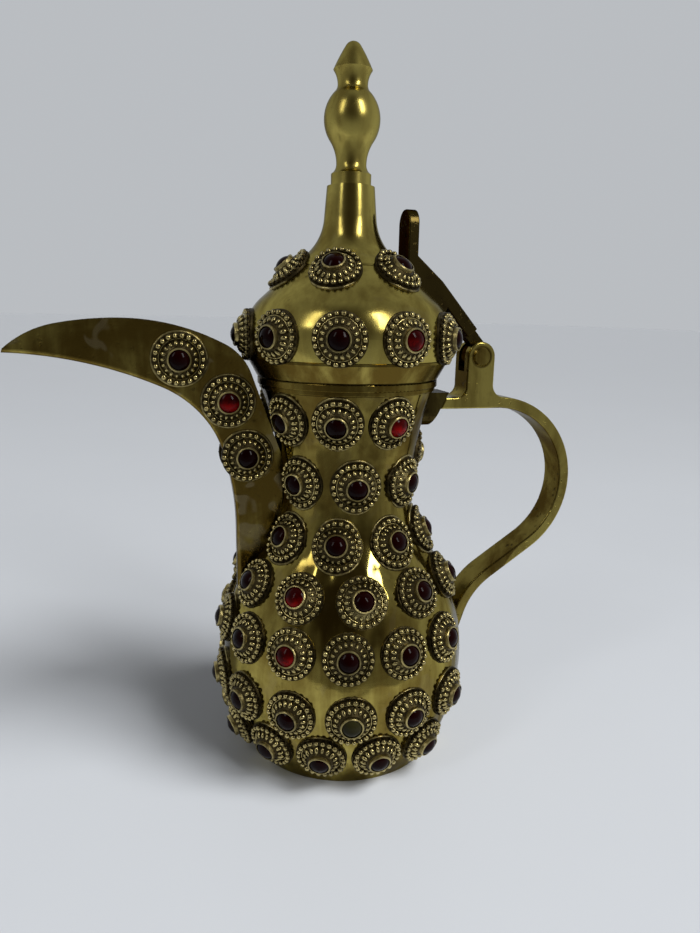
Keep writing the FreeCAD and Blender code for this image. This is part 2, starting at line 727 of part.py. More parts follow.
# Hinge and handle: worked-out places
pin_across = work_out("pin_across", dim.neck_radius + dim.pin_reach, "hinge pin's distance from the axis")
pin_up = work_out("pin_up", dim.rim_height + dim.pin_rise, "hinge pin's height")
arm_top = work_out("arm_top", dim.rim_height - dim.arm_drop, "height of the arm's top")
loop_across = work_out("loop_across", dim.neck_radius + dim.loop_reach, "centre of the handle's loop")
loop_radius = work_out(
    "loop_radius",
    (arm_top - dim.handle_foot_height) * dim.loop_share,
    "outside radius of the handle's loop",
)
loop_up = work_out("loop_up", arm_top - loop_radius, "height of the loop's centre")
saddle_top = work_out("saddle_top", arm_top + dim.saddle_over, "height of the saddle's top")
saddle_low = work_out("saddle_low", saddle_top - dim.saddle_height, "height of the saddle's lower end")


def saddle_front(height):
    """The saddle's leaning front, on which the handle's arm ends."""
    lean = sine(dim.saddle_lean) / cosine(dim.saddle_lean)
    return dim.neck_radius + dim.saddle_reach + (height - saddle_low) * lean


def handle_outline():
    """The strap's side view: arm and ears, round the loop and down to the belly, then back inside."""
    thick = dim.strap_thickness
    end_sine = sine(dim.loop_end)
    end_cosine = cosine(dim.loop_end)
    foot_sine = sine(dim.foot_steepness)
    foot_cosine = cosine(dim.foot_steepness)
    front = pin_across - dim.ear_radius
    back = pin_across + dim.ear_radius

    # The fillet between the ears' back and the loop
    fillet_across = back + dim.ear_back_fillet - loop_across
    fillet_reach = loop_radius + dim.ear_back_fillet
    fillet_up = work_out(
        "ear_fillet_up",
        root(fillet_reach * fillet_reach - fillet_across * fillet_across),
        "ear fillet's centre above the loop's centre",
    )
    share = loop_radius / fillet_reach

    # The loop's end, and the two straight runs that bring the strap to its place on the belly
    end_across = loop_across + loop_radius * end_cosine
    end_up = loop_up - loop_radius * end_sine
    foot_across = belly_at(dim.handle_foot_height, as_size(0)) + dim.handle_foot_lip
    left_across = foot_across - end_across - dim.return_radius * (end_cosine - foot_sine)
    left_up = dim.handle_foot_height - end_up - dim.return_radius * (foot_cosine - end_sine)
    turn = end_sine * foot_sine - end_cosine * foot_cosine
    run = work_out(
        "handle_run",
        (left_up * foot_cosine - left_across * foot_sine) / turn,
        "length of the strap's straight run",
    )
    run_across = end_across - run * end_sine
    run_up = end_up - run * end_cosine
    bend_across = run_across + dim.return_radius * (end_cosine - foot_sine)
    bend_up = run_up + dim.return_radius * (foot_cosine - end_sine)

    # The same corners on the strap's inner side
    inner_bend = bend_across - thick * foot_sine
    inner_bend_up = bend_up + thick * foot_cosine
    inner_foot = inner_bend - (inner_bend_up - dim.handle_foot_height) * foot_cosine / foot_sine
    inner_radius = loop_radius - thick
    arm_low = arm_top - thick

    strap = Outline(saddle_front(arm_low), arm_low).line(saddle_front(arm_top), arm_top)
    strap.line(front - dim.ear_front_fillet, arm_top)
    strap.arc(front, arm_top + dim.ear_front_fillet, dim.ear_front_fillet, LEFT)
    strap.line(front, pin_up).arc(pin_across, pin_up + dim.ear_radius, dim.ear_radius, RIGHT)
    strap.arc(back, pin_up, dim.ear_radius, RIGHT).line(back, loop_up + fillet_up)
    strap.arc(loop_across + fillet_across * share, loop_up + fillet_up * share, dim.ear_back_fillet, LEFT)
    strap.arc(end_across, end_up, loop_radius, RIGHT).line(run_across, run_up)
    strap.arc(bend_across, bend_up, dim.return_radius, LEFT)
    strap.line(foot_across, dim.handle_foot_height).line(inner_foot, dim.handle_foot_height)
    strap.line(inner_bend, inner_bend_up)
    strap.arc(
        run_across - thick * end_cosine,
        run_up + thick * end_sine,
        dim.return_radius + thick,
        RIGHT,
    )
    strap.line(end_across - thick * end_cosine, end_up + thick * end_sine)
    strap.arc(loop_across, loop_up + inner_radius, inner_radius, LEFT)
    return strap


def make_handle(envelope):
    body = new_body("handle_blank")
    strap = both_ways(body, "Pad", handle_outline(), dim.strap_width, "strap")
    half = float(dim.strap_width) / 2
    round_edges(body, strap, dim.strap_round, lambda edge: on_sides(edge, half), "strap_rounding")

    floor = pin_up - dim.knuckle_radius - dim.knuckle_under_gap
    reach = dim.ear_radius + dim.ear_back_fillet
    ceiling = pin_up + reach
    slot = Outline(pin_across - reach, floor).line(pin_across + reach, floor)
    slot.line(pin_across + reach, ceiling).line(pin_across - reach, ceiling)
    slot_width = dim.knuckle_width + 2 * dim.knuckle_side_gap
    both_ways(body, "Pocket", slot, slot_width, "knuckle_slot")
    cross_bore(body, pin_across, pin_up, dim.pin_radius + dim.pin_press, dim.strap_width, "ear_bore")
    return boolean("Cut", "handle", body, envelope)


def make_handle_saddle(envelope):
    body = new_body("saddle_blank")
    plate = Outline(0, saddle_low).line(saddle_front(saddle_low), saddle_low)
    plate.line(saddle_front(saddle_top), saddle_top).line(0, saddle_top)
    pad = both_ways(body, "Pad", plate, dim.strap_width, "saddle_plate")
    half = float(dim.strap_width) / 2
    low = float(saddle_low)

    def lower_corner(edge):
        level = all(abs(vertex.Z - low) < 1e-4 for vertex in edge.Vertexes)
        return level and on_sides(edge, half)

    round_edges(body, pad, dim.saddle_round, lower_corner, "saddle_rounding")
    return boolean("Cut", "handle_saddle", body, envelope)


def make_hinge_pin():
    """The pin's shaft and its two riveted heads, flat against the ears."""
    half = dim.strap_width / 2

    def lay_across(piece, start, angle):
        axis = FreeCAD.Vector(1, 0, 0)
        piece.Placement = FreeCAD.Placement(FreeCAD.Vector(), FreeCAD.Rotation(axis, angle))
        for name, size in (("x", pin_across), ("y", start), ("z", pin_up)):
            piece.setExpression(f"Placement.Base.{name}", size.text)

    shaft = doc.addObject("Part::Cylinder", "pin_shaft")
    shaft.setExpression("Radius", dim.pin_radius.text)
    shaft.setExpression("Height", dim.strap_width.text)
    lay_across(shaft, half, 90)
    pin = shaft
    for name, start, angle in (("near_head", 0 - half, 90), ("far_head", half, -90)):
        head = doc.addObject("Part::Cone", name)
        head.setExpression("Radius1", dim.pin_head_radius.text)
        head.setExpression("Radius2", (dim.pin_head_radius - dim.pin_head_bevel).text)
        head.setExpression("Height", dim.pin_head_height.text)
        lay_across(head, start, angle)
        pin = boolean("Fuse", "pin_and_" + name, pin, head)
    pin.Label = "hinge_pin"
    return pin


def make_thumb_lever(envelope):
    """Knuckle and narrow neck in the clevis, then the strap along the dome and the thumb tab."""
    knuckle = dim.knuckle_radius
    thick = dim.lever_thickness
    bend_across = dim.dome_radius - dim.lever_bend_inset
    bend_up = dome_middle + dim.lever_bend_rise

    # The strap's upper face runs from the bend to touch the knuckle: its unit normal
    far_across = bend_across - pin_across
    far_up = bend_up - pin_up
    far_square = far_across * far_across + far_up * far_up
    touch = work_out("lever_touch", root(far_square - knuckle * knuckle), "from the bend to the knuckle")
    out_across = work_out(
        "lever_out_across",
        (knuckle * far_across + touch * far_up) / far_square,
        "level part of the lever's normal",
    )
    out_up = work_out(
        "lever_out_up",
        (knuckle * far_up - touch * far_across) / far_square,
        "upright part of the lever's normal",
    )

    def along(distance, depth):
        """A point along the strap from the knuckle, below its upper face."""
        rise = knuckle - depth
        across = pin_across + rise * out_across - distance * out_up
        return across, pin_up + rise * out_up + distance * out_across

    neck_end = dim.lever_shoulder + thick
    leave = root(knuckle * knuckle - (knuckle - thick) * (knuckle - thick))
    neck = Outline(*along(as_size(0), as_size(0))).line(*along(neck_end, as_size(0)))
    neck.line(*along(neck_end, thick)).line(*along(leave, thick))
    neck.arc(*along(as_size(0), 2 * knuckle), knuckle, LEFT)
    neck.arc(*along(0 - knuckle, knuckle), knuckle, LEFT)
    neck.arc_home(knuckle, LEFT)

    tab_front = bend_across - dim.lever_run
    tab_back = tab_front - dim.tab_thickness
    tab_top = dome_middle + dim.tab_rise
    slope = sine(dim.lever_slope) / cosine(dim.lever_slope)
    heel = dim.dome_radius - dim.lever_heel_inset
    heel_distance = (pin_across + (knuckle - thick) * out_across - heel) / out_up
    inside = heel - dim.lever_thickness
    bed = dome_middle
    strap = Outline(*along(dim.lever_shoulder, thick)).line(*along(dim.lever_shoulder, as_size(0)))
    strap.line(bend_across, bend_up).line(tab_front, bend_up + dim.lever_run * slope)
    strap.line(tab_front, tab_top).line(tab_back, tab_top).line(tab_back, bed).line(inside, bed)
    strap.line(*along(heel_distance, thick))

    body = new_body("lever_blank")
    pad = both_ways(body, "Pad", strap, dim.lever_width, "lever_strap")
    half = float(dim.lever_width) / 2
    top = float(tab_top)

    def tab_corner(edge):
        level = all(abs(vertex.Z - top) < 1e-4 for vertex in edge.Vertexes)
        return level and on_sides(edge, half)

    tab = round_edges(body, pad, dim.tab_round, tab_corner, "tab_rounding")
    round_edges(body, tab, dim.lever_round, lambda edge: on_sides(edge, half), "lever_rounding")
    both_ways(body, "Pad", neck, dim.knuckle_width, "knuckle")
    cross_bore(body, pin_across, pin_up, dim.pin_radius + dim.pin_fit, dim.lever_width, "knuckle_bore")
    return boolean("Cut", "thumb_lever", body, envelope)


# Spout: drawn with its tip towards +X and turned half round into place
keel_across = work_out(
    "keel_across",
    dim.neck_radius + dim.spout_heel_reach,
    "distance of the keel's foot from the axis",
)
keel_heel = work_out("keel_heel", dim.rim_height - dim.spout_depth, "height where the keel starts to curve")
keel_foot = work_out("keel_foot", dim.belly_height + dim.spout_foot_rise, "height of the keel's lower end")


def keel(offset):
    """The keel from its foot to the tip, set off towards the inside of the spout."""
    slopes = [dim.spout_heel_slope, dim.spout_elbow_slope, dim.spout_beak_slope]
    arcs = [dim.spout_heel_arc, dim.spout_elbow_arc, dim.spout_beak_arc]
    across = keel_across
    up = keel_heel
    line = Outline(across - offset, up)
    before_sine = as_size(1)
    before_cosine = as_size(0)
    for slope, arc in zip(slopes, arcs):
        across = across + arc * (before_sine - sine(slope))
        up = up + arc * (cosine(slope) - before_cosine)
        line.arc(across - offset * sine(slope), up + offset * cosine(slope), arc + offset, RIGHT)
        before_sine = sine(slope)
        before_cosine = cosine(slope)
    return line


def spout_rim():
    """The spout's rim from its tip over the crest and down to the neck."""
    crest = dim.neck_radius + dim.spout_crest_reach
    crest_up = dim.rim_height + dim.spout_crest_rise
    front_across = crest + dim.spout_front_arc * sine(dim.spout_front_slope)
    front_up = crest_up - dim.spout_front_arc * (1 - cosine(dim.spout_front_slope))
    tip_across = front_across + dim.spout_tip_arc * (sine(dim.spout_tip_slope) - sine(dim.spout_front_slope))
    tip_up = front_up - dim.spout_tip_arc * (cosine(dim.spout_front_slope) - cosine(dim.spout_tip_slope))
    back_across = crest - dim.spout_back_arc * sine(dim.spout_back_slope)
    back_up = crest_up - dim.spout_back_arc * (1 - cosine(dim.spout_back_slope))
    root_across = back_across - dim.spout_root_arc * (
        sine(dim.spout_root_slope) - sine(dim.spout_back_slope)
    )
    root_up = back_up - dim.spout_root_arc * (cosine(dim.spout_back_slope) - cosine(dim.spout_root_slope))
    run = root_across - dim.waist_radius
    fall = run * sine(dim.spout_root_slope) / cosine(dim.spout_root_slope)
    rim = Outline(tip_across, tip_up).arc(front_across, front_up, dim.spout_tip_arc, LEFT)
    rim.arc(crest, crest_up, dim.spout_front_arc, LEFT)
    rim.arc(back_across, back_up, dim.spout_back_arc, LEFT)
    rim.arc(root_across, root_up, dim.spout_root_arc, LEFT)
    rim.line(dim.waist_radius, root_up - fall)
    return rim


def spout_wedge(label, inset):
    """The wedge between the spout's two flat sides, each moved in by an inset."""
    body = new_body(label)
    long = 4 * dim.rim_height
    spread = long * sine(dim.spout_flare) / cosine(dim.spout_flare)
    sketch = new_sketch(body, "XY_Plane", label + "_outline")
    Outline(0, 0).line(long, 0 - spread).line(long, spread).draw(sketch)
    finish_both_ways(body, "Pad", sketch, long, label + "_pad")
    back = dim.spout_root_width / 2 * cosine(dim.spout_flare) / sine(dim.spout_flare)
    shift = inset / sine(dim.spout_flare) - back
    lean = FreeCAD.Rotation(FreeCAD.Vector(0, 1, 0), float(dim.spout_flare_direction) - 180)
    body.Placement = FreeCAD.Placement(FreeCAD.Vector(), lean)
    root_across, root_up = spout_rim().corners[-2]
    across = root_across - shift * cosine(dim.spout_flare_direction)
    up = root_up + shift * sine(dim.spout_flare_direction)
    body.setExpression("Placement.Base.x", across.text)
    body.setExpression("Placement.Base.z", up.text)
    doc.recompute()
    return body


def make_spout(envelope):
    width = 2 * dim.spout_root_width
    outer = new_body("spout_side")
    outline = Outline(keel_across, keel_foot).then(keel(as_size(0))).then(spout_rim())
    outline.line(dim.waist_radius, keel_foot)
    both_ways(outer, "Pad", outline, width, "spout_side_pad")
    blank = boolean("Common", "spout_solid", outer, spout_wedge("spout_wedge", as_size(0)))

    wall = dim.spout_wall
    inner = new_body("channel_side")
    ceiling = dim.rim_height + dim.spout_crest_rise + wall
    outline = Outline(keel_across - wall, keel_foot).then(keel(wall))
    beak_across, beak_up = outline.corners[-1]
    past = beak_across + dim.spout_tip_arc
    outline.line(past, beak_up + dim.spout_tip_arc * sine(dim.spout_beak_slope))
    outline.line(past, ceiling).line(0, ceiling).line(0, keel_foot)
    both_ways(inner, "Pad", outline, width, "channel_pad")
    channel = boolean("Common", "spout_channel", inner, spout_wedge("channel_wedge", wall))

    rounded = round_keel("rounded_spout", blank, dim.spout_keel_round, as_size(0))
    rounded_channel = round_keel("rounded_channel", channel, dim.spout_keel_round - wall, wall)
    hollow = boolean("Cut", "hollow_spout", rounded, rounded_channel)
    hollow.Placement.Rotation = FreeCAD.Rotation(FreeCAD.Vector(0, 0, 1), 180)
    return boolean("Cut", "spout", hollow, envelope)


def round_keel(label, base, radius, offset):
    """Round the two edges of the keel's underside, found as those that lie along the keel.

    Where the spout is too narrow for the radius, its half width limits it.
    """
    foot = (keel_across - offset, keel_foot)
    marks = [flat_point(corner) for corner in [foot] + keel(offset).corners]
    chosen = {}
    for number, edge in enumerate(base.Shape.Edges, 1):
        ends = [FreeCAD.Vector(vertex.X, vertex.Z, 0) for vertex in edge.Vertexes]
        sideways = [vertex.Y for vertex in edge.Vertexes]
        near = all(min((end - mark).Length for mark in marks) < 1e-3 for end in ends)
        if near and len(ends) == 2 and sideways[0] * sideways[1] > 0:
            chosen[number] = min(abs(side) for side in sideways)
    limited = min(float(radius), KEEL_ROUND_LIMIT * min(chosen.values()))
    fillet = doc.addObject("Part::Fillet", label)
    fillet.Base = base
    fillet.Edges = [(number, limited, limited) for number in chosen]
    doc.recompute()
    return fillet


# Rosettes, bezels and stones
def turned_shape(points):
    """A solid turned about its own Z axis from a half section."""
    wire = Part.makePolygon([FreeCAD.Vector(across, 0, up) for across, up in points + points[:1]])
    return Part.Face(wire).revolve(FreeCAD.Vector(), FreeCAD.Vector(0, 0, 1), 360)


def rise_shape(bottom):
    """The cone that rises from a rosette's sheet to its flat top, from any depth below it."""
    top = float(dim.rosette_top_radius)
    height = float(dim.rosette_top_height)
    fall = (float(dim.rosette_rise_radius) - top) / (height - float(dim.rosette_edge))
    return turned_shape([(0, bottom), (top + (height - bottom) * fall, bottom), (top, height), (0, height)])


def disc_shape(bottom, height):
    return Part.makeCylinder(float(dim.rosette_radius), height, FreeCAD.Vector(0, 0, bottom))


def ridge_shape(bottom, height):
    """The raised ring near a rosette's edge."""
    low = FreeCAD.Vector(0, 0, bottom)
    outside = Part.makeCylinder(float(dim.ridge_radius + dim.ridge_width / 2), height, low)
    return outside.cut(Part.makeCylinder(float(dim.ridge_radius - dim.ridge_width / 2), height, low))


def bezel_shape():
    seat = float(dim.rosette_top_height)
    outside = float(dim.bezel_radius)
    wall = float(dim.bezel_wall)
    top = seat + float(dim.bezel_height)
    return turned_shape([
        (outside - wall, seat),
        (outside, seat),
        (outside, top - wall / 2),
        (outside - wall / 2, top),
        (outside - wall, top),
    ])


def stone_shape():
    radius = float(dim.bezel_radius - dim.bezel_wall - dim.stone_fit)
    low = float(dim.rosette_top_height + dim.stone_bed)
    girdle = low + float(dim.stone_girdle)
    rise = float(dim.stone_dome)
    ball = (radius ** 2 + rise ** 2) / (2 * rise)
    sphere = Part.makeSphere(ball, FreeCAD.Vector(0, 0, girdle + rise - ball))
    post = Part.makeCylinder(radius, 2 * ball, FreeCAD.Vector(0, 0, low))
    return post.common(sphere)


def facing(point, normal):
    """The placement that sets a piece on a point with its Z axis along a normal."""
    along = FreeCAD.Vector(0, 0, 1).cross(normal)
    turn = FreeCAD.Rotation(along, normal.cross(along), normal, "ZXY")
    return FreeCAD.Placement(point, turn)


def pot_seat(height):
    """Point and normal of the pot's outside at azimuth 0, at a height."""
    bulge = FreeCAD.Vector(float(belly_centre), 0, float(dim.belly_height))
    joint = bulge.z + float(belly_arc) * float(shoulder_up)
    if height <= joint:
        point = FreeCAD.Vector(float(belly_at(as_size(height), as_size(0))), 0, height)
        return point, (point - bulge).normalize()
    arc = float(shoulder_arc if height < float(dim.waist_height) else neck_arc)
    centre = FreeCAD.Vector(float(dim.waist_radius) + arc, 0, float(dim.waist_height))
    depth = math.sqrt(arc ** 2 - (height - centre.z) ** 2)
    point = FreeCAD.Vector(centre.x - depth, 0, height)
    return point, (centre - point).normalize()


def lid_seat_at(height):
    """Point and normal of the dome's outside at azimuth 0, at a height."""
    slope = math.radians(float(dim.dome_slope))
    arc = float(dim.dome_shoulder_arc)
    centre = FreeCAD.Vector(float(dim.dome_radius) - arc, 0, float(dome_middle))
    rise = height - centre.z
    if rise <= arc * math.sin(slope):
        across = math.sqrt(arc ** 2 - rise ** 2)
        return FreeCAD.Vector(centre.x + across, 0, height), FreeCAD.Vector(across, 0, rise).normalize()
    normal = FreeCAD.Vector(math.cos(slope), 0, math.sin(slope))
    start = centre + normal * arc
    across = start.x - (height - start.z) * math.tan(slope)
    return FreeCAD.Vector(across, 0, height), normal


def round_the_axis(shape, azimuth):
    copy = shape.copy()
    copy.rotate(FreeCAD.Vector(), FreeCAD.Vector(0, 0, 1), azimuth)
    return copy


def row_azimuths(last, step, pairs):
    """Azimuths of a row that mirrors itself about the handle's plane."""
    azimuths = []
    for pair in range(pairs):
        azimuth = last - step * pair
        azimuths += [azimuth] if azimuth == 180 else [azimuth, -azimuth]
    return azimuths


def seat_one(seat, wall):
    """A rosette bent to its wall, its bezel and its stone, at azimuth 0."""
    envelope, sheet, crest = [layer.Shape for layer in wall]
    place = facing(*seat)
    root = float(dim.rosette_root)
    ring = ridge_shape(-root, 2 * root)
    pieces = [disc_shape(-root, 2 * root), ring, rise_shape(-root), bezel_shape(), stone_shape()]
    for piece in pieces:
        piece.Placement = place
    disc, ring, rise, bezel, stone = pieces
    rosette = disc.common(sheet).fuse([ring.common(crest), rise.common(disc)])
    return rosette.cut(envelope).removeSplitter(), bezel, stone


def add_group(label, shapes):
    group = doc.addObject("Part::Feature", label)
    group.Label = label
    group.Shape = Part.makeCompound(shapes)
    return group


def add_trio(name, trios):
    """Three groups from a list of rosettes with their bezels and stones."""
    kinds = ("rosettes", "bezels", "stones")
    return [add_group(f"{name}_{kind}", [trio[n] for trio in trios]) for n, kind in enumerate(kinds)]


def make_row(name, seat, last, step, pairs, wall, singles=()):
    """A row of rosettes in pairs, and single ones at azimuth 0."""
    pieces = seat_one(seat, wall)
    azimuths = row_azimuths(last, step, pairs)
    trios = [[round_the_axis(piece, azimuth) for piece in pieces] for azimuth in azimuths]
    trios += [seat_one(single, wall) for single in singles]
    return add_trio(name, trios)


def make_pot_rows(envelope):
    neck_row_height = float(collar_height - dim.neck_row_gap - dim.rosette_radius)
    saddle_rosette_height = float(saddle_low - dim.saddle_rosette_gap - dim.rosette_radius)
    sheet = dim.solder_gap + dim.rosette_edge
    crest = pot_within("pot_crest", sheet + dim.ridge_height)
    wall = (envelope, pot_within("pot_sheet", sheet), crest)
    groups = []
    for name, last, step, pairs in POT_ROWS:
        height = neck_row_height if name == "neck_row" else float(getattr(dim, name + "_height"))
        singles = [pot_seat(saddle_rosette_height)] if name == "waist_row" else []
        groups += make_row(name, pot_seat(height), last, step, pairs, wall, singles)
    return groups


def make_lid_rows(envelope):
    heights = {"lid_row": float(dome_middle), "upper_lid_row": float(dome_middle + dim.upper_lid_row_rise)}
    sheet = dim.solder_gap + dim.rosette_edge
    crest = lid_within("lid_crest", sheet + dim.ridge_height)
    wall = (envelope, lid_within("lid_sheet", sheet), crest)
    groups = []
    for name, last, step, pairs in LID_ROWS:
        groups += make_row(name, lid_seat_at(heights[name]), last, step, pairs, wall)
    return groups


def make_spout_rosettes():
    """Rosettes on the spout's two flat sides."""
    flare = math.radians(float(dim.spout_flare))
    direction = math.radians(float(dim.spout_flare_direction))
    widening = FreeCAD.Vector(math.cos(direction), 0, math.sin(direction))
    root_across, root_up = spout_rim().corners[-2]
    start = FreeCAD.Vector(-float(root_across), 0, float(root_up))
    gap = float(dim.solder_gap)
    plate = disc_shape(gap, float(dim.rosette_edge))
    ring = ridge_shape(gap, float(dim.rosette_edge + dim.ridge_height))
    cone = rise_shape(gap).common(disc_shape(gap, float(dim.rosette_top_height)))
    pieces = [plate.fuse([ring, cone]).removeSplitter(), bezel_shape(), stone_shape()]
    trios = []
    for reach, rise in SPOUT_ROSETTES:
        point = FreeCAD.Vector(-float(dim.neck_radius + reach), 0, float(dim.rim_height + rise))
        half = float(dim.spout_root_width) / 2 + (point - start).dot(widening) * math.tan(flare)
        for side in (-1, 1):
            normal = FreeCAD.Vector(0, side * math.cos(flare), 0) - widening * math.sin(flare)
            place = facing(point + FreeCAD.Vector(0, side * half, 0), normal)
            trio = [piece.copy() for piece in pieces]
            for piece in trio:
                piece.Placement = place
            trios.append(trio)
    return add_trio("spout", trios)


def main():
    pot_envelope = make_pot_envelope()
    lid_envelope = lid_within("lid_envelope", dim.solder_gap)
    pieces = [
        make_body_shell(),
        make_base_plate(),
        make_neck_band(),
        make_handle(pot_envelope),
        make_handle_saddle(pot_envelope),
        make_hinge_pin(),
        make_spout(pot_envelope),
        make_lid_flange(),
        make_lid_inner_ring(),
        make_lid_dome(),
        make_lid_stem(),
        make_finial(),
        make_thumb_lever(lid_envelope),
    ]
    pieces += make_pot_rows(pot_envelope)
    pieces += make_lid_rows(lid_envelope)
    pieces += make_spout_rosettes()
    doc.recompute()

    for item in doc.Objects:
        if "Invalid" in item.State or "Error" in item.State:
            raise RuntimeError(f"{item.Label} failed: {item.State}")
    for piece in pieces:
        if piece.Shape.isNull() or not piece.Shape.isValid():
            raise RuntimeError(f"{piece.Label} has no valid shape")
    os.makedirs("parts", exist_ok=True)
    for piece in pieces:
        piece.Shape.exportStep(f"parts/{piece.Label}.step")
        print(piece.Label, len(piece.Shape.Solids), "solids", round(piece.Shape.Volume), "mm3")


main()
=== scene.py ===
# Finishes, stamped ornament and studio for a jewelled brass coffee pot.
# Metres, in the pot's own frame: +Z is up, the handle is at +X and the spout at -X.
import json
import math
from typing import Callable, NamedTuple

import bmesh
import bpy
import numpy as np
from mathutils import Matrix, Vector


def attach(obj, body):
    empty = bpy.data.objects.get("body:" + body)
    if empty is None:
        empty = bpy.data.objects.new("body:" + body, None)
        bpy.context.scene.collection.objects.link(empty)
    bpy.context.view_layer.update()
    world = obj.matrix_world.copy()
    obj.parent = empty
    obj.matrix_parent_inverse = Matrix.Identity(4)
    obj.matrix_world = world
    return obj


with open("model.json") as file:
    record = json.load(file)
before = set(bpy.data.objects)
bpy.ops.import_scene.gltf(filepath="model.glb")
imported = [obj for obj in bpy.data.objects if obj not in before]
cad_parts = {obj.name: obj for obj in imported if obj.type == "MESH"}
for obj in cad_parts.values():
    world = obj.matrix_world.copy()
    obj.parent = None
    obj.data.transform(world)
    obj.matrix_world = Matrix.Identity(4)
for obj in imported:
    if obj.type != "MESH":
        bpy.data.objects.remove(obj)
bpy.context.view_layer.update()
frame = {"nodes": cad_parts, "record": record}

bl_info = {
    "name": "Jewelled Coffee Pot",
    "version": (1, 0, 0),
    "blender": (4, 5, 0),
    "location": "View3D > Sidebar > Coffee Pot",
    "description": "Aged brass, stamped rosettes and glass stones for a hinged-lid coffee pot",
    "category": "Object",
}

MM = 0.001
BODIES = frame["record"]["behaviour"]["bodies"]


# Node trees
class Flow:
    """A node's output: arithmetic on it adds Math nodes to its tree."""

    def __init__(self, nodes, socket):
        self.nodes = nodes
        self.socket = socket

    def combine(self, operation, first, second):
        return self.nodes.node("ShaderNodeMath", {"operation": operation}, {0: first, 1: second})

    def __add__(self, other):
        return self.combine("ADD", self, other)

    def __sub__(self, other):
        return self.combine("SUBTRACT", self, other)

    def __rsub__(self, other):
        return self.combine("SUBTRACT", other, self)

    def __mul__(self, other):
        return self.combine("MULTIPLY", self, other)

    def __or__(self, other):
        """The larger of two masks."""
        return self.combine("MAXIMUM", self, other)

    __radd__ = __add__
    __rmul__ = __mul__


class Nodes:
    """A node tree, to which one method adds every node."""

    def __init__(self, tree):
        self.tree = tree

    def node(self, kind, settings=None, inputs=None, output=0):
        """Add a node, with its settings first and then its sockets' values or links, and give an output."""
        made = self.tree.nodes.new(kind)
        for name, value in (settings or {}).items():
            setattr(made, name, value)
        for name, value in (inputs or {}).items():
            self.feed(made.inputs[name], value)
        if made.outputs:
            return Flow(self, made.outputs[output])

    def feed(self, socket, value):
        if isinstance(value, Flow):
            self.tree.links.new(value.socket, socket)
        else:
            socket.default_value = value

    def vectors(self, operation, first, second):
        """Vector maths on two vectors, which measures them or makes a third."""
        output = "Value" if operation in ("DISTANCE", "DOT_PRODUCT") else "Vector"
        return self.node("ShaderNodeVectorMath", {"operation": operation}, {0: first, 1: second}, output)

    def scaled(self, vector, scale):
        return self.node("ShaderNodeVectorMath", {"operation": "SCALE"}, {0: vector, "Scale": scale})

    def step(self, value, low, high):
        """A smooth step from 0 at low to 1 at high."""
        return self.node("ShaderNodeMapRange", {"interpolation_type": "SMOOTHSTEP"}, {
            "Value": value,
            "From Min": low,
            "From Max": high,
        })

    def mix(self, mask, first, second):
        """One colour into another by a mask."""
        return self.node("ShaderNodeMix", {"data_type": "RGBA"}, {0: mask, 6: first, 7: second}, 2)


class Finish(Nodes):
    """One material, with the patterns that its finishes share."""

    def __init__(self, name):
        self.material = bpy.data.materials.new(name)
        self.material.use_nodes = True
        super().__init__(self.material.node_tree)
        self.tree.nodes.clear()
        self.place = self.node("ShaderNodeTexCoord", output="Object")

    def along(self, axis):
        """How far along an axis the place on the piece is."""
        return self.node("ShaderNodeSeparateXYZ", None, {"Vector": self.place}, axis)

    def noise(self, size, detail, roughness, distortion=0.0):
        """Soft noise from 0 to 1 with spots of a size, or of a size across and one along the upright axis."""
        place = self.place
        scale = 1.0
        if isinstance(size, tuple):
            across, upright = size
            stretch = (1 / across, 1 / across, 1 / upright)
            place = self.node("ShaderNodeMapping", None, {"Vector": place, "Scale": stretch})
        else:
            scale = 1 / size
        return self.node("ShaderNodeTexNoise", None, {
            "Vector": place,
            "Scale": scale,
            "Detail": detail,
            "Roughness": roughness,
            "Distortion": distortion,
        })

    def bump(self, height, depth, under=None):
        """The normal of a relief of some depth, laid over another normal where one is given."""
        inputs = {"Strength": 1.0, "Distance": depth, "Height": height}
        if under is not None:
            inputs["Normal"] = under
        return self.node("ShaderNodeBump", None, inputs)

    def surface(self, inputs):
        """The finished material."""
        shader = self.node("ShaderNodeBsdfPrincipled", None, inputs)
        self.node("ShaderNodeOutputMaterial", None, {"Surface": shader})
        return self.material


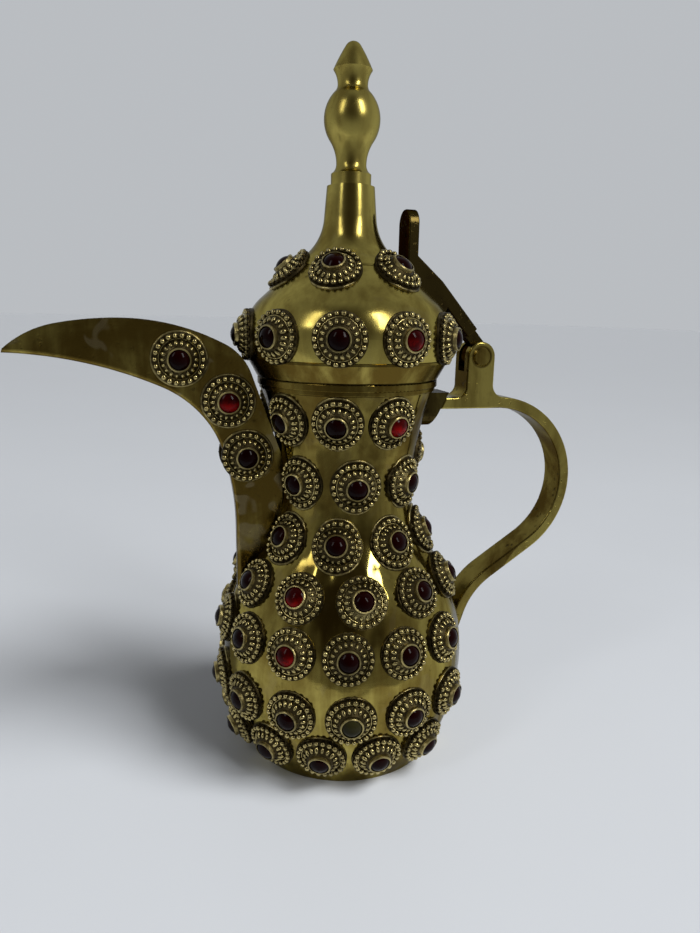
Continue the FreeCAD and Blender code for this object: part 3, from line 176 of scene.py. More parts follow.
class Tree(Nodes):
    """A Geometry Nodes tree with named inputs, run once on a piece and turned into its mesh."""

    def __init__(self, name, inputs):
        super().__init__(bpy.data.node_groups.new(name, "GeometryNodeTree"))
        interface = self.tree.interface
        interface.new_socket("Geometry", in_out="OUTPUT", socket_type="NodeSocketGeometry")
        interface.new_socket("Geometry", in_out="INPUT", socket_type="NodeSocketGeometry")
        for label, kind in inputs.items():
            interface.new_socket(label, in_out="INPUT", socket_type="NodeSocket" + kind)
        self.entry = self.tree.nodes.new("NodeGroupInput")

    def given(self, label):
        return Flow(self, self.entry.outputs[label])

    def faces(self, label):
        """The faces of an object that the tree is given."""
        return self.node("GeometryNodeObjectInfo", None, {"Object": self.given(label)}, "Geometry")

    def position(self):
        return self.node("GeometryNodeInputPosition")

    def attribute(self, name):
        """A vector kept with the points that the tree gets."""
        return self.node("GeometryNodeInputNamedAttribute", {"data_type": "FLOAT_VECTOR"}, {"Name": name})

    def keep_tip(self, geometry, height):
        """Keep a height with the points, from -1 in the hollows to 1 on the tips, for the finish to read."""
        return self.node("GeometryNodeStoreNamedAttribute", {"data_type": "FLOAT", "domain": "POINT"}, {
            "Geometry": geometry,
            "Name": "tip",
            "Value": height,
        })

    def end(self, geometry):
        """Real faces, smooth, with the tree's material."""
        real = self.node("GeometryNodeRealizeInstances", None, {"Geometry": geometry})
        smooth = self.node("GeometryNodeSetShadeSmooth", None, {0: real})
        dressed = self.node("GeometryNodeSetMaterial", None, {
            "Geometry": smooth,
            "Material": self.given("Material"),
        })
        self.node("NodeGroupOutput", None, {"Geometry": dressed})

    def make(self, name, points, values):
        """A new piece: the tree run on points, as a plain mesh."""
        carrier = bpy.data.objects.new(name, points)
        bpy.context.scene.collection.objects.link(carrier)
        modifier = carrier.modifiers.new(name, "NODES")
        modifier.node_group = self.tree
        for item in self.tree.interface.items_tree:
            if item.in_out == "INPUT" and item.name in values:
                modifier[item.identifier] = values[item.name]
        bpy.context.view_layer.update()
        evaluated = carrier.evaluated_get(bpy.context.evaluated_depsgraph_get())
        mesh = bpy.data.meshes.new_from_object(evaluated)
        if not mesh.polygons:
            raise RuntimeError(f"{name} has no faces")
        carrier.modifiers.remove(modifier)
        carrier.data = mesh
        return carrier


# Rosettes: where they sit, read from the bezels
CORNERS_MEET = 1e-7


def islands(node):
    """The corner points of each separate solid of a node, always in the mesh's own order."""
    mesh = bmesh.new()
    mesh.from_mesh(frame["nodes"][node].data)
    bmesh.ops.remove_doubles(mesh, verts=mesh.verts, dist=CORNERS_MEET)
    seen = set()
    found = []
    for start in mesh.verts:
        if start in seen:
            continue
        seen.add(start)
        group = [start]
        for vertex in group:
            near = [edge.other_vert(vertex) for edge in vertex.link_edges]
            fresh = [other for other in near if other not in seen]
            seen.update(fresh)
            group += fresh
        found.append(np.array([vertex.co for vertex in group]))
    mesh.free()
    return found


def bezel_seats(row):
    """Centre, on the underside, and outward direction of each bezel of a row."""
    seats = []
    stones = [points.mean(0) for points in islands(row + "_stones")]
    for points in islands(row + "_bezels"):
        middle = points.mean(0)
        spread = np.linalg.svd(points - middle, full_matrices=False)[2]
        facing = spread[2]
        stone = min(stones, key=lambda place: np.linalg.norm(place - middle))
        if np.dot(stone - middle, facing) < 0:
            facing = -facing
        low = np.min((points - middle) @ facing)
        seats.append((middle + low * facing, facing))
    return seats


def rows_of(body):
    return sorted(node[:-len("_bezels")] for node in BODIES[body] if node.endswith("_bezels"))


SEATS = {body: {row: bezel_seats(row) for row in rows_of(body)} for body in BODIES}


def seat_points(name, rows):
    """A mesh of one point for each rosette, at its bezel's foot, that keeps the way it faces."""
    seats = [seat for row in rows for seat in row]
    places = [place for place, facing in seats]
    ways = [facing for place, facing in seats]
    mesh = bpy.data.meshes.new(name)
    mesh.from_pydata([Vector(place) for place in places], [], [])
    for kept, values in (("seat", places), ("facing", ways)):
        attribute = mesh.attributes.new(kept, "FLOAT_VECTOR", "POINT")
        attribute.data.foreach_set("vector", np.array(values).ravel())
    return mesh


def rosette_ground(body):
    """The rosettes of a body as one object, for rays to meet while the ornament is laid on them."""
    mesh = bmesh.new()
    for node in BODIES[body]:
        if node.endswith("_rosettes"):
            mesh.from_mesh(frame["nodes"][node].data)
    data = bpy.data.meshes.new(body + "_ground")
    mesh.to_mesh(data)
    mesh.free()
    ground = bpy.data.objects.new(body + "_ground", data)
    bpy.context.scene.collection.objects.link(ground)
    return ground


# Sizes and colours that a user would change
class BrassSettings(bpy.types.PropertyGroup):
    brass: bpy.props.FloatVectorProperty(
        name="Brass", description="Clean brass", subtype="COLOR", size=4,
        default=(0.48, 0.395, 0.1, 1.0))
    tarnish: bpy.props.FloatVectorProperty(
        name="Tarnish", description="Brown film on brass that has aged", subtype="COLOR", size=4,
        default=(0.13, 0.08, 0.013, 1.0))
    grime: bpy.props.FloatVectorProperty(
        name="Grime", description="Nearly black dirt in pits and corners", subtype="COLOR", size=4,
        default=(0.025, 0.016, 0.006, 1.0))
    stain: bpy.props.FloatVectorProperty(
        name="Stain", description="Pale marks that drops have left", subtype="COLOR", size=4,
        default=(0.3, 0.25, 0.14, 1.0))
    gloss: bpy.props.FloatProperty(
        name="Roughness", description="Roughness of the clean brass", default=0.1, min=0.02, max=1.0)


class OrnamentSettings(bpy.types.PropertyGroup):
    bright: bpy.props.FloatVectorProperty(
        name="Rubbed Brass", description="Tips of the relief, rubbed bright", subtype="COLOR", size=4,
        default=(0.56, 0.46, 0.19, 1.0))
    patina: bpy.props.FloatVectorProperty(
        name="Patina", description="Dark ground of the relief", subtype="COLOR", size=4,
        default=(0.055, 0.041, 0.017, 1.0))
    bead_count: bpy.props.IntProperty(
        name="Beads", description="Beads round a rosette's edge", default=22, min=3)
    bead_ring: bpy.props.FloatProperty(
        name="Bead Ring", description="Radius of the ring of beads", unit="LENGTH", default=9.85 * MM)
    bead_radius: bpy.props.FloatProperty(
        name="Bead Radius", description="Radius of a bead", unit="LENGTH", default=1.36 * MM)
    petal_count: bpy.props.IntProperty(
        name="Petals", description="Petals round a rosette's bezel", default=18, min=3)
    petal_ring: bpy.props.FloatProperty(
        name="Petal Ring", description="Radius of the ring of petals", unit="LENGTH", default=6.85 * MM)
    petal_slope: bpy.props.FloatProperty(
        name="Petal Slope", description="Fall of a petal towards the rosette's edge", subtype="ANGLE",
        default=math.radians(44))
    petal_length: bpy.props.FloatProperty(
        name="Petal Length", description="Half length of a petal", unit="LENGTH", default=1.75 * MM)
    petal_width: bpy.props.FloatProperty(
        name="Petal Width", description="Half width of a petal", unit="LENGTH", default=0.95 * MM)
    wire_ring: bpy.props.FloatProperty(
        name="Wire Ring", description="Radius of the wire between beads and petals", unit="LENGTH",
        default=8.55 * MM)
    wire_thickness: bpy.props.FloatProperty(
        name="Wire Thickness", description="Radius of that wire", unit="LENGTH", default=0.32 * MM)
    seam_ring: bpy.props.FloatProperty(
        name="Solder Seam", description="Radius of the solder seam round a rosette", unit="LENGTH",
        default=11.35 * MM)
    seam_thickness: bpy.props.FloatProperty(
        name="Seam Thickness", description="Radius of the solder seam's section", unit="LENGTH",
        default=0.7 * MM)
    unevenness: bpy.props.FloatProperty(
        name="Unevenness", description="Spread of the beads' sizes", subtype="FACTOR", default=0.14)
    reach: bpy.props.FloatProperty(
        name="Reach", description="How far from a bezel's foot the relief is laid", unit="LENGTH",
        default=8.0 * MM)
    seed: bpy.props.IntProperty(
        name="Seed", description="Fixes the beads' sizes", default=5)


class StoneSettings(bpy.types.PropertyGroup):
    glass: bpy.props.FloatVectorProperty(
        name="Glass", description="Dark garnet glass", subtype="COLOR", size=4,
        default=(0.006, 0.0003, 0.0002, 1.0))
    # Painted glow: the colour that stands in for light coming back through a few stones
    red_glow: bpy.props.FloatVectorProperty(
        name="Red Glass", description="Stones through which more light comes back", subtype="COLOR",
        size=4, default=(0.34, 0.004, 0.004, 1.0))
    green_glass: bpy.props.FloatVectorProperty(
        name="Green Glass", description="The one stone that was replaced", subtype="COLOR", size=4,
        default=(0.02, 0.018, 0.006, 1.0))


class StageSettings(bpy.types.PropertyGroup):
    floor: bpy.props.FloatVectorProperty(
        name="Floor", description="Pale floor", subtype="COLOR", size=4, default=(0.6, 0.625, 0.66, 1.0))
    floor_radius: bpy.props.FloatProperty(
        name="Floor Radius", description="Radius of the round floor", unit="LENGTH", default=8.0)
    floor_front: bpy.props.FloatProperty(
        name="Floor Front", description="Floor's edge in front of the pot", unit="LENGTH", default=0.185)
    dim: bpy.props.FloatVectorProperty(
        name="Room In Front", description="The room that the pot's front mirrors", subtype="COLOR", size=4,
        default=(0.045, 0.038, 0.03, 1.0))
    pale: bpy.props.FloatVectorProperty(
        name="Background", description="The pale room behind the pot", subtype="COLOR", size=4,
        default=(0.49, 0.51, 0.535, 1.0))
    ambient: bpy.props.FloatVectorProperty(
        name="Ambient", description="Soft light from all round", subtype="COLOR", size=4,
        default=(0.1, 0.1, 0.1, 1.0))
    camera_place: bpy.props.FloatVectorProperty(
        name="Camera", description="Place of the camera", subtype="TRANSLATION", unit="LENGTH",
        default=(-0.08734, -0.31222, 0.2062))
    camera_turn: bpy.props.FloatProperty(
        name="Turn", description="Camera's turn from the pot's cross axis", subtype="ANGLE",
        default=math.radians(16.0))
    camera_fall: bpy.props.FloatProperty(
        name="Fall", description="Camera's angle below level", subtype="ANGLE", default=math.radians(12.48))
    camera_roll: bpy.props.FloatProperty(
        name="Roll", description="Camera's lean to the left", subtype="ANGLE", default=math.radians(1.18))
    focal_length: bpy.props.FloatProperty(
        name="Focal Length", description="Lens for a picture 36 mm high, in mm", default=27.28)


# Darker marks on the brass, a brown film on the neck and painted shade on the handle: each pair is where its
# mask is 0 and where it is 1.
# The handle is seen from the side: the centres of its two bends, the distances from them at its inner face,
# the height where one bend goes over into the other, the hinge's axis and the ears' face towards the lid.
LOOP_CENTRE = Vector((73.3, 0.0, 125.0)) * MM
LOOP_SHADE = (37.4 * MM, 36.9 * MM)
RETURN_CENTRE = Vector((112.8, 0.0, 66.4)) * MM
RETURN_SHADE = (33.3 * MM, 33.8 * MM)
LOOP_HEIGHT = (90.4 * MM, 94.4 * MM)
HINGE_AXIS = Vector((63.3, 0.0, 186.0)) * MM
PIN_RING = (5.6 * MM, 4.9 * MM)
EAR_SHADE = (57.0 * MM, 56.6 * MM)
EAR_HEIGHT = (168.0 * MM, 172.0 * MM)
NECK_HEIGHT = (92.0 * MM, 140.0 * MM)
NECK_PATCHES = 16 * MM
SIDE_VIEW = (1.0, 0.0, 1.0)


def handle_painted_shade(finish):
    """Painted shade: 1 on the strap's inner face, where it mirrors the dark body, and on the ears' lid side,
    where shadow falls; the mask also darkens the brass round the pin's heads.
    """
    side = finish.vectors("MULTIPLY", finish.place, SIDE_VIEW)
    loop = finish.step(finish.vectors("DISTANCE", side, LOOP_CENTRE), *LOOP_SHADE)
    lower_run = finish.step(finish.vectors("DISTANCE", side, RETURN_CENTRE), *RETURN_SHADE)
    pin = finish.step(finish.vectors("DISTANCE", side, HINGE_AXIS), *PIN_RING)
    height = finish.along("Z")
    upper = finish.step(height, *LOOP_HEIGHT)
    ear = finish.step(finish.along("X"), *EAR_SHADE) * finish.step(height, *EAR_HEIGHT)
    # Painted shade on the strap and ears, and a darker ring round the pins
    return loop * upper + lower_run * (1 - upper) | ear | pin


def neck_film(finish):
    """A patchy brown film that thickens from the shoulder up to the rim."""
    patches = finish.step(finish.noise(NECK_PATCHES, 3.0, 0.5, 0.5), 0.32, 0.6)
    return finish.step(finish.along("Z"), *NECK_HEIGHT) * patches * 0.8


# Brass
class BrassGrade(NamedTuple):
    """How a group of brass pieces was made and has aged."""

    pieces: tuple
    wear: float  # the tarnish's share; past 1 it has grime in it
    dullness: float  # roughness beyond the clean brass's
    wave: float  # depth of the metal's unevenness
    pits: float = 0.0  # strength of a casting's pits
    stains: float = 0.0  # strength of the pale marks
    dirt: Callable = None  # makes a mask that darkens the brass: a brown film on the neck, painted shade on the handle
    edge: float = 0.5  # how much a face mirrors that is seen nearly edge-on


BRASS_GRADES = {
    "spun_brass": BrassGrade(("body_shell",), 0.85, -0.03, 2.8 * MM, stains=0.12, dirt=neck_film),
    "lid_brass": BrassGrade(("lid_dome", "lid_stem"), 0.6, 0.07, 0.3 * MM, stains=0.08),
    # On the flange and neck band this browning is partly tarnish and partly painted shade of the dim room in
    # front that they mirror
    "browned_brass": BrassGrade(("lid_flange", "neck_band", "hinge_pin"), 1.15, 0.05, 0.4 * MM),
    "turned_brass": BrassGrade(("finial",), 0.65, 0.13, 0.3 * MM),
    "cast_brass": BrassGrade(("handle",), 0.7, 0.06, 0.4 * MM, pits=0.7, dirt=handle_painted_shade),
    # Nearly black: partly heavy tarnish, partly painted shade of the dark room that the lever's tab mirrors
    "dark_cast_brass": BrassGrade(("thumb_lever", "handle_saddle"), 1.9, 0.0, 0.6 * MM, pits=0.4, edge=0.3),
    "sheet_brass": BrassGrade(("spout",), 1.1, 0.03, 0.5 * MM, pits=0.3, stains=0.45),
    "dull_brass": BrassGrade(("base_plate", "lid_inner_ring"), 0.9, 0.25, 0.4 * MM, pits=0.3),
}

# Sizes of the patterns in the brass; a pair is a size across and one along the upright axis
FILM = 40 * MM
STREAKS = (9 * MM, 60 * MM)
SPECKS = 5 * MM
DROPS = 12 * MM
DENTS = 24 * MM
PANELS = (12 * MM, 110 * MM)
TOOL_LINES = (80 * MM, 1.2 * MM)
TOOL_DEPTH = 0.006 * MM
PITS = 2.4 * MM
PIT_PATCHES = 20 * MM
PIT_DEPTH = 0.3 * MM


def aged_brass(finish, settings, grade):
    """Colour and roughness of brass under its tarnish, specks and stains, and under the darkening that its
    grade gives: a brown film on the neck, painted shade on the handle.
    """
    wear = grade.wear
    film = finish.noise(FILM, 5.0, 0.6, 0.8)
    streaks = finish.noise(STREAKS, 4.0, 0.6, 0.3)
    tarnish = finish.step(film * 0.55 + streaks * 0.45, 0.6 - 0.3 * wear, 0.76 - 0.18 * wear)
    specks = finish.step(finish.noise(SPECKS, 4.0, 0.65), 0.66 - 0.08 * wear, 0.78)
    dark = finish.mix(max(wear - 1, 0.0), settings.tarnish, settings.grime)
    colour = finish.mix(tarnish * min(0.4 + 0.5 * wear, 0.95), settings.brass, dark)
    colour = finish.mix(specks * (0.2 + 0.5 * wear), colour, settings.grime)
    rough = settings.gloss + grade.dullness + tarnish * (0.02 + 0.06 * wear) + specks * 0.12
    if grade.stains:
        drops = finish.step(finish.noise(DROPS, 1.0, 0.5, 0.7), 0.62, 0.67) * grade.stains
        colour = finish.mix(drops, colour, settings.stain)
        rough = rough + drops * 0.15
    # The grade's darkening: a real brown film on the neck, and on the handle painted shade where its inner
    # faces mirror the dark body and its ears stand in shadow
    if grade.dirt:
        film_and_shade = grade.dirt(finish) * (0.65 + 0.35 * finish.step(film, 0.35, 0.6))
        colour = finish.mix(film_and_shade, colour, finish.mix(0.45, settings.tarnish, settings.grime))
        rough = rough + film_and_shade * 0.08
    return colour, rough


def uneven_brass(finish, wave):
    """Normal of brass that is dented, wavy in upright panels and marked by fine lines of the tool."""
    dents = finish.noise(DENTS, 2.0, 0.5)
    panels = finish.noise(PANELS, 1.0, 0.5)
    normal = finish.bump(dents * 0.55 + panels * 0.8, wave)
    return finish.bump(finish.noise(TOOL_LINES, 2.0, 0.5), TOOL_DEPTH, normal)


def brass_finish(name, settings, grade):
    """Aged brass, with patches of dark pits where its grade has them."""
    finish = Finish(name)
    colour, rough = aged_brass(finish, settings, grade)
    normal = uneven_brass(finish, grade.wave)
    if grade.pits:
        holes = finish.step(finish.noise(PITS, 3.0, 0.6), 0.6, 0.74)
        holes = holes * finish.step(finish.noise(PIT_PATCHES, 2.0, 0.5), 0.42, 0.62)
        colour = finish.mix(holes * grade.pits, colour, settings.grime)
        rough = rough + holes * 0.2 * grade.pits
        normal = finish.bump(1 - holes, PIT_DEPTH * grade.pits, normal)
    return finish.surface({
        "Base Color": colour,
        "Metallic": 1.0,
        "Specular Tint": (grade.edge, grade.edge, grade.edge, 1.0),
        "Roughness": rough,
        "Normal": normal,
    })


# Ornament: heights on the relief where it is all patina and where it is rubbed bright, how far plates,
# bezels and seams are rubbed, and the sizes and depths of the dirt on them
RELIEF_TIPS = (0.15, 1.0)
WIRE_TIPS = (-0.3, 0.9)
RELIEF_DIRT = 3 * MM
RELIEF_CLOUDS = 25 * MM
RELIEF_DEPTH = 0.12 * MM
PLATE_RUBBING = 0.3
BEZEL_RUBBING = 0.85
SOLDER_RUBBING = 0.7
PLATE_DIRT = 2.2 * MM
PLATE_CLOUDS = 20 * MM
PLATE_DEPTH = 0.2 * MM


def relief_finish(name, settings, tips):
    """Stamped relief: dark in the hollows and rubbed bright on the tips, by the height kept with it."""
    finish = Finish(name)
    tip = finish.node("ShaderNodeAttribute", {"attribute_name": "tip"}, output="Fac")
    dirt = finish.noise(RELIEF_DIRT, 3.0, 0.6)
    clean = finish.step(finish.noise(RELIEF_CLOUDS, 3.0, 0.5), 0.32, 0.6)
    rubbed = finish.step(tip + (dirt - 0.5) * 0.6, *tips) * (0.5 + 0.5 * clean)
    return finish.surface({
        "Base Color": finish.mix(rubbed, settings.patina, settings.bright),
        "Metallic": 1.0,
        "Roughness": 0.34 - rubbed * 0.22 + dirt * 0.06,
        "Normal": finish.bump(dirt, RELIEF_DEPTH),
    })


def ground_finish(name, settings, rubbing):
    """The rosettes' plates, bezels and seams: patina with rubbed patches."""
    finish = Finish(name)
    dirt = finish.noise(PLATE_DIRT, 4.0, 0.65)
    clouds = finish.noise(PLATE_CLOUDS, 3.0, 0.5)
    rubbed = finish.step(dirt * 0.5 + clouds * 0.5, 0.62 - 0.4 * rubbing, 0.8 - 0.25 * rubbing)
    return finish.surface({
        "Base Color": finish.mix(rubbed * (0.3 + 0.65 * rubbing), settings.patina, settings.bright),
        "Metallic": 1.0,
        "Roughness": 0.5 - rubbed * 0.22,
        "Normal": finish.bump(dirt, PLATE_DEPTH),
    })


# Stones of another colour, the red ones with a painted red glow of light coming back through them: row,
# azimuth in degrees and, for the red ones, how strong the glow is
RED_GLOW_STONES = (
    ("spout", -169.7, 0.75),
    ("neck_row", -72.5, 1.0),
    ("shoulder_row", -128.7, 0.7),
    ("upper_belly_row", -128.6, 0.75),
    ("lid_row", -74.2, 0.45),
)
GREEN_STONE = ("belly_row", -101.2)

# Distances from a bezel's foot between which its stone's mask sets in, heights for its lit lower side, where
# the painted glow is strongest, and the size and depth of the flaws in the glass
STONE_REACH = (9 * MM, 8 * MM)
STONE_LIT = (1.6 * MM, -2.4 * MM)
FLAWS = 3.5 * MM
FLAW_DEPTH = 0.12 * MM


def stone_masks(finish, row, azimuth):
    """Two masks for the stone of a row that is nearest to an azimuth: all of it, and its lit lower side."""
    def turn_away(place):
        return abs(math.degrees(math.atan2(place[1], place[0])) - azimuth)

    seats = [place for rows in SEATS.values() for place, facing in rows.get(row, [])]
    nearest = Vector(min(seats, key=turn_away))
    away = finish.vectors("DISTANCE", finish.place, nearest)
    height = finish.along("Z") - nearest.z
    return finish.step(away, *STONE_REACH), finish.step(height, *STONE_LIT)


def glass_finish(name, settings):
    """Garnet glass, nearly black, with a painted red glow in a few stones, strongest on their lower side, for
    light that comes back through them, and flaws.
    """
    finish = Finish(name)
    flaws = finish.noise(FLAWS, 3.0, 0.6)
    glow = 0.35 + 0.65 * finish.step(flaws, 0.38, 0.6)
    colour = settings.glass
    for row, azimuth, glow_strength in RED_GLOW_STONES:
        stone, lit = stone_masks(finish, row, azimuth)
        # Painted glow: red that stands in for light coming back through these stones, most on their lower
        # side
        colour = finish.mix(stone * glow * (0.12 + 0.88 * lit) * glow_strength, colour, settings.red_glow)
    colour = finish.mix(stone_masks(finish, *GREEN_STONE)[0], colour, settings.green_glass)
    return finish.surface({
        "Base Color": colour,
        "Metallic": 0.0,
        "Roughness": 0.04 + flaws * 0.08,
        "IOR": 1.5,
        "Specular IOR Level": 0.07,
        "Normal": finish.bump(flaws, FLAW_DEPTH),
    })


def dress(nodes, material):
    """Give CAD pieces a finish."""
    for node in nodes:
        slots = frame["nodes"][node].data.materials
        slots.clear()
        slots.append(material)


def trim(kind):
    """The nodes of every row for one kind of piece."""
    return [node for nodes in BODIES.values() for node in nodes if node.endswith(kind)]


# Geometry Nodes trees for what repeats round a rosette
BEAD_SEGMENTS = 8
BEAD_RINGS = 6
WIRE_CORNERS = 40
SEAM_CORNERS = 48
SECTION_CORNERS = 6
OUTWARD_TILT = (0.0, 1.0, 0.0)
UPRIGHT = (0.0, 0.0, 1.0)


def facing_turn(tree, across):
    """Each rosette's turn, with its Z axis outwards and its X axis near a given way."""
    return tree.node("FunctionNodeAxesToRotation", {"primary_axis": "Z", "secondary_axis": "X"}, {
        "Primary Axis": tree.attribute("facing"),
        "Secondary Axis": across,
    })


def on_rosettes(tree, ring, place):
    """A ring round each of the tree's points, as real geometry, with its corners moved to a place."""
    level = tree.vectors("CROSS_PRODUCT", UPRIGHT, tree.attribute("facing"))
    rings = tree.node("GeometryNodeInstanceOnPoints", None, {
        "Points": tree.given("Geometry"),
        "Instance": ring,
        "Rotation": facing_turn(tree, level),
    })
    real = tree.node("GeometryNodeRealizeInstances", None, {"Geometry": rings})
    return tree.node("GeometryNodeSetPosition", None, {"Geometry": real, "Position": place})


def dropped(tree):
    """Where rays down each rosette's axis meet its ground."""
    reach = tree.given("Reach")
    above = tree.node("ShaderNodeVectorMath", {"operation": "MULTIPLY_ADD"}, {
        0: tree.attribute("facing"),
        1: reach,
        2: tree.position(),
    })
    return tree.node("GeometryNodeRaycast", None, {
        "Target Geometry": tree.faces("Ground"),
        "Source Position": above,
        "Ray Direction": tree.scaled(tree.attribute("facing"), -1.0),
        "Ray Length": reach * 2,
    }, "Hit Position")


def bead_tree():
    """A ring of oval beads on each rosette, long outwards and tilted down by a slope."""
    tree = Tree("bead_ring", {
        "Ground": "Object", "Reach": "Float", "Count": "Int", "Ring": "Float", "Slope": "Float",
        "Bead": "Vector", "Unevenness": "Float", "Seed": "Int", "Material": "Material",
    })
    ring = tree.node("GeometryNodeMeshCircle", None, {
        "Vertices": tree.given("Count"),
        "Radius": tree.given("Ring"),
    })
    outward = tree.vectors("SUBTRACT", tree.position(), tree.attribute("seat"))
    tilt = tree.node("FunctionNodeAxisAngleToRotation", None, {
        "Axis": OUTWARD_TILT,
        "Angle": tree.given("Slope"),
    })
    turn = tree.node("FunctionNodeRotateRotation", {"rotation_space": "LOCAL"}, {
        "Rotation": facing_turn(tree, outward),
        "Rotate By": tilt,
    })
    ball = tree.node("GeometryNodeMeshUVSphere", None, {
        "Segments": BEAD_SEGMENTS,
        "Rings": BEAD_RINGS,
        "Radius": 1.0,
    })
    height = tree.node("ShaderNodeSeparateXYZ", None, {"Vector": tree.position()}, "Z")
    uneven = tree.given("Unevenness")
    swell = tree.node("FunctionNodeRandomValue", {"data_type": "FLOAT"}, {
        "Min": 1 - uneven,
        "Max": 1 + uneven * 0.6,
        "Seed": tree.given("Seed"),
    }, 1)
    tree.end(tree.node("GeometryNodeInstanceOnPoints", None, {
        "Points": on_rosettes(tree, ring, dropped(tree)),
        "Instance": tree.keep_tip(ball, height),
        "Rotation": turn,
        "Scale": tree.scaled(tree.given("Bead"), swell),
    }))
    return tree


def hoops(tree, corners, place):
    """Round wire bent to a hoop on each rosette, with its middle line moved to a place."""
    hoop, section = [tree.node("GeometryNodeCurvePrimitiveCircle", None, {
        "Resolution": count,
        "Radius": tree.given(radius),
    }) for count, radius in ((corners, "Ring"), (SECTION_CORNERS, "Thickness"))]
    return tree.node("GeometryNodeCurveToMesh", None, {
        "Curve": on_rosettes(tree, hoop, place),
        "Profile Curve": section,
    })


def wire_tree():
    """A hoop of wire on each rosette, with the height round its section kept as its tip."""
    tree = Tree("wire_ring", {
        "Ground": "Object", "Reach": "Float", "Ring": "Float", "Thickness": "Float", "Material": "Material",
    })
    wire = hoops(tree, WIRE_CORNERS, dropped(tree))
    outward = tree.node("GeometryNodeInputNormal")
    tree.end(tree.keep_tip(wire, tree.vectors("DOT_PRODUCT", outward, tree.attribute("facing"))))
    return tree


def seam_tree():
    """A solder seam round each rosette that follows the wall it stands on."""
    tree = Tree("solder_seams", {
        "Wall": "Object", "Ring": "Float", "Thickness": "Float", "Material": "Material",
    })
    nearest = tree.node("GeometryNodeProximity", {"target_element": "FACES"}, {
        0: tree.faces("Wall"),
    }, "Position")
    tree.end(hoops(tree, SEAM_CORNERS, nearest))
    return tree


def tie(piece, body):
    """Tie a finished piece of ornament to the body it moves with."""
    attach(piece, body)


def stamp(tree, kinds):
    """Lay kinds of relief on every rosette: one piece for each kind and body."""
    for body, rows in SEATS.items():
        ground = rosette_ground(body)
        for kind, values in kinds.items():
            name = f"{body}_rosette_{kind}"
            tie(tree.make(name, seat_points(name, rows.values()), dict(values, Ground=ground)), body)
        bpy.data.objects.remove(ground)


# Stage
FLOOR_CORNERS = 128
FLOOR_SHADE = 0.94
FLOOR_SCUFFS = 250 * MM
PICTURE_HEIGHT = 36.0
NEAREST_SEEN = 10 * MM
SUN_PLACE = (0.9, -0.6, 1.4)
SUN_STRENGTH = 2.9
SUN_WIDTH = math.radians(24.0)
LAMP_AIM = Vector((0.0, 0.0, 0.14))

# Tall soft boxes beside the camera: place, width and height, and watts
SOFT_BOXES = {
    "right_box": ((0.52, -0.97, 1.0), (0.25, 0.8), 7.5),
    "left_box": ((-0.95, -0.55, 1.0), (0.22, 0.8), 2.4),
}

# Light paths that see the room, and the cosines with the camera's side between which its halves turn pale
SEEN_BY = ("Camera", "Glossy", "Transmission")
PALE_SIDES = (0.97, 0.55)
PALE_BACK = (0.7, -0.4)


def floor_finish(name, settings):
    """Pale floor with faint scuffs."""
    finish = Finish(name)
    scuffs = finish.noise(FLOOR_SCUFFS, 4.0, 0.6)
    shade = tuple(value * FLOOR_SHADE for value in settings.floor[:3]) + (1.0,)
    return finish.surface({
        "Base Color": finish.mix(scuffs, shade, settings.floor),
        "Roughness": 0.45 + scuffs * 0.15,
    })


def lay_floor(scene, stage):
    """A round floor that ends a little in front of the pot."""
    mesh = bmesh.new()
    middle = Matrix.Translation((0.0, stage.floor_radius - stage.floor_front, 0.0))
    bmesh.ops.create_circle(
        mesh, cap_ends=True, segments=FLOOR_CORNERS, radius=stage.floor_radius, matrix=middle)
    data = bpy.data.meshes.new("floor")
    mesh.to_mesh(data)
    mesh.free()
    data.materials.append(floor_finish("pale_floor", stage))
    floor = bpy.data.objects.new("floor", data)
    scene.collection.objects.link(floor)


def light_world(scene, stage):
    """A room that is pale behind the pot and above it, and dim in front, with even light from all round."""
    world = bpy.data.worlds.new("studio")
    world.use_nodes = True
    world.node_tree.nodes.clear()
    scene.world = world
    nodes = Nodes(world.node_tree)
    way = nodes.node("ShaderNodeTexCoord", output="Generated")
    towards = nodes.vectors("DOT_PRODUCT", way, Vector(stage.camera_place).normalized())
    pale = nodes.step(towards, *PALE_SIDES) * 0.5 + nodes.step(towards, *PALE_BACK) * 0.5
    room = nodes.mix(pale, stage.dim, stage.pale)
    camera, glossy, through = [nodes.node("ShaderNodeLightPath", output=f"Is {kind} Ray") for kind in SEEN_BY]
    colour = nodes.mix(camera | glossy | through, stage.ambient, room)
    light = nodes.node("ShaderNodeBackground", None, {"Color": colour, "Strength": 1.0})
    nodes.node("ShaderNodeOutputWorld", None, {"Surface": light})


def hang(scene, lamp, place):
    """Hang a lamp at a place, turned towards the pot."""
    hung = bpy.data.objects.new(lamp.name, lamp)
    hung.location = place
    hung.rotation_euler = (LAMP_AIM - Vector(place)).to_track_quat("-Z", "Y").to_euler()
    scene.collection.objects.link(hung)
    return hung


def hang_lamps(scene):
    """A soft sun for the shadow, which the brass doesn't mirror, and the soft boxes, which it does."""
    sun = bpy.data.lights.new("soft_sun", "SUN")
    sun.energy = SUN_STRENGTH
    sun.angle = SUN_WIDTH
    hang(scene, sun, SUN_PLACE).visible_glossy = False
    for name, (place, size, power) in SOFT_BOXES.items():
        lamp = bpy.data.lights.new(name, "AREA")
        lamp.shape = "RECTANGLE"
        lamp.size, lamp.size_y = size
        lamp.energy = power
        hang(scene, lamp, place)


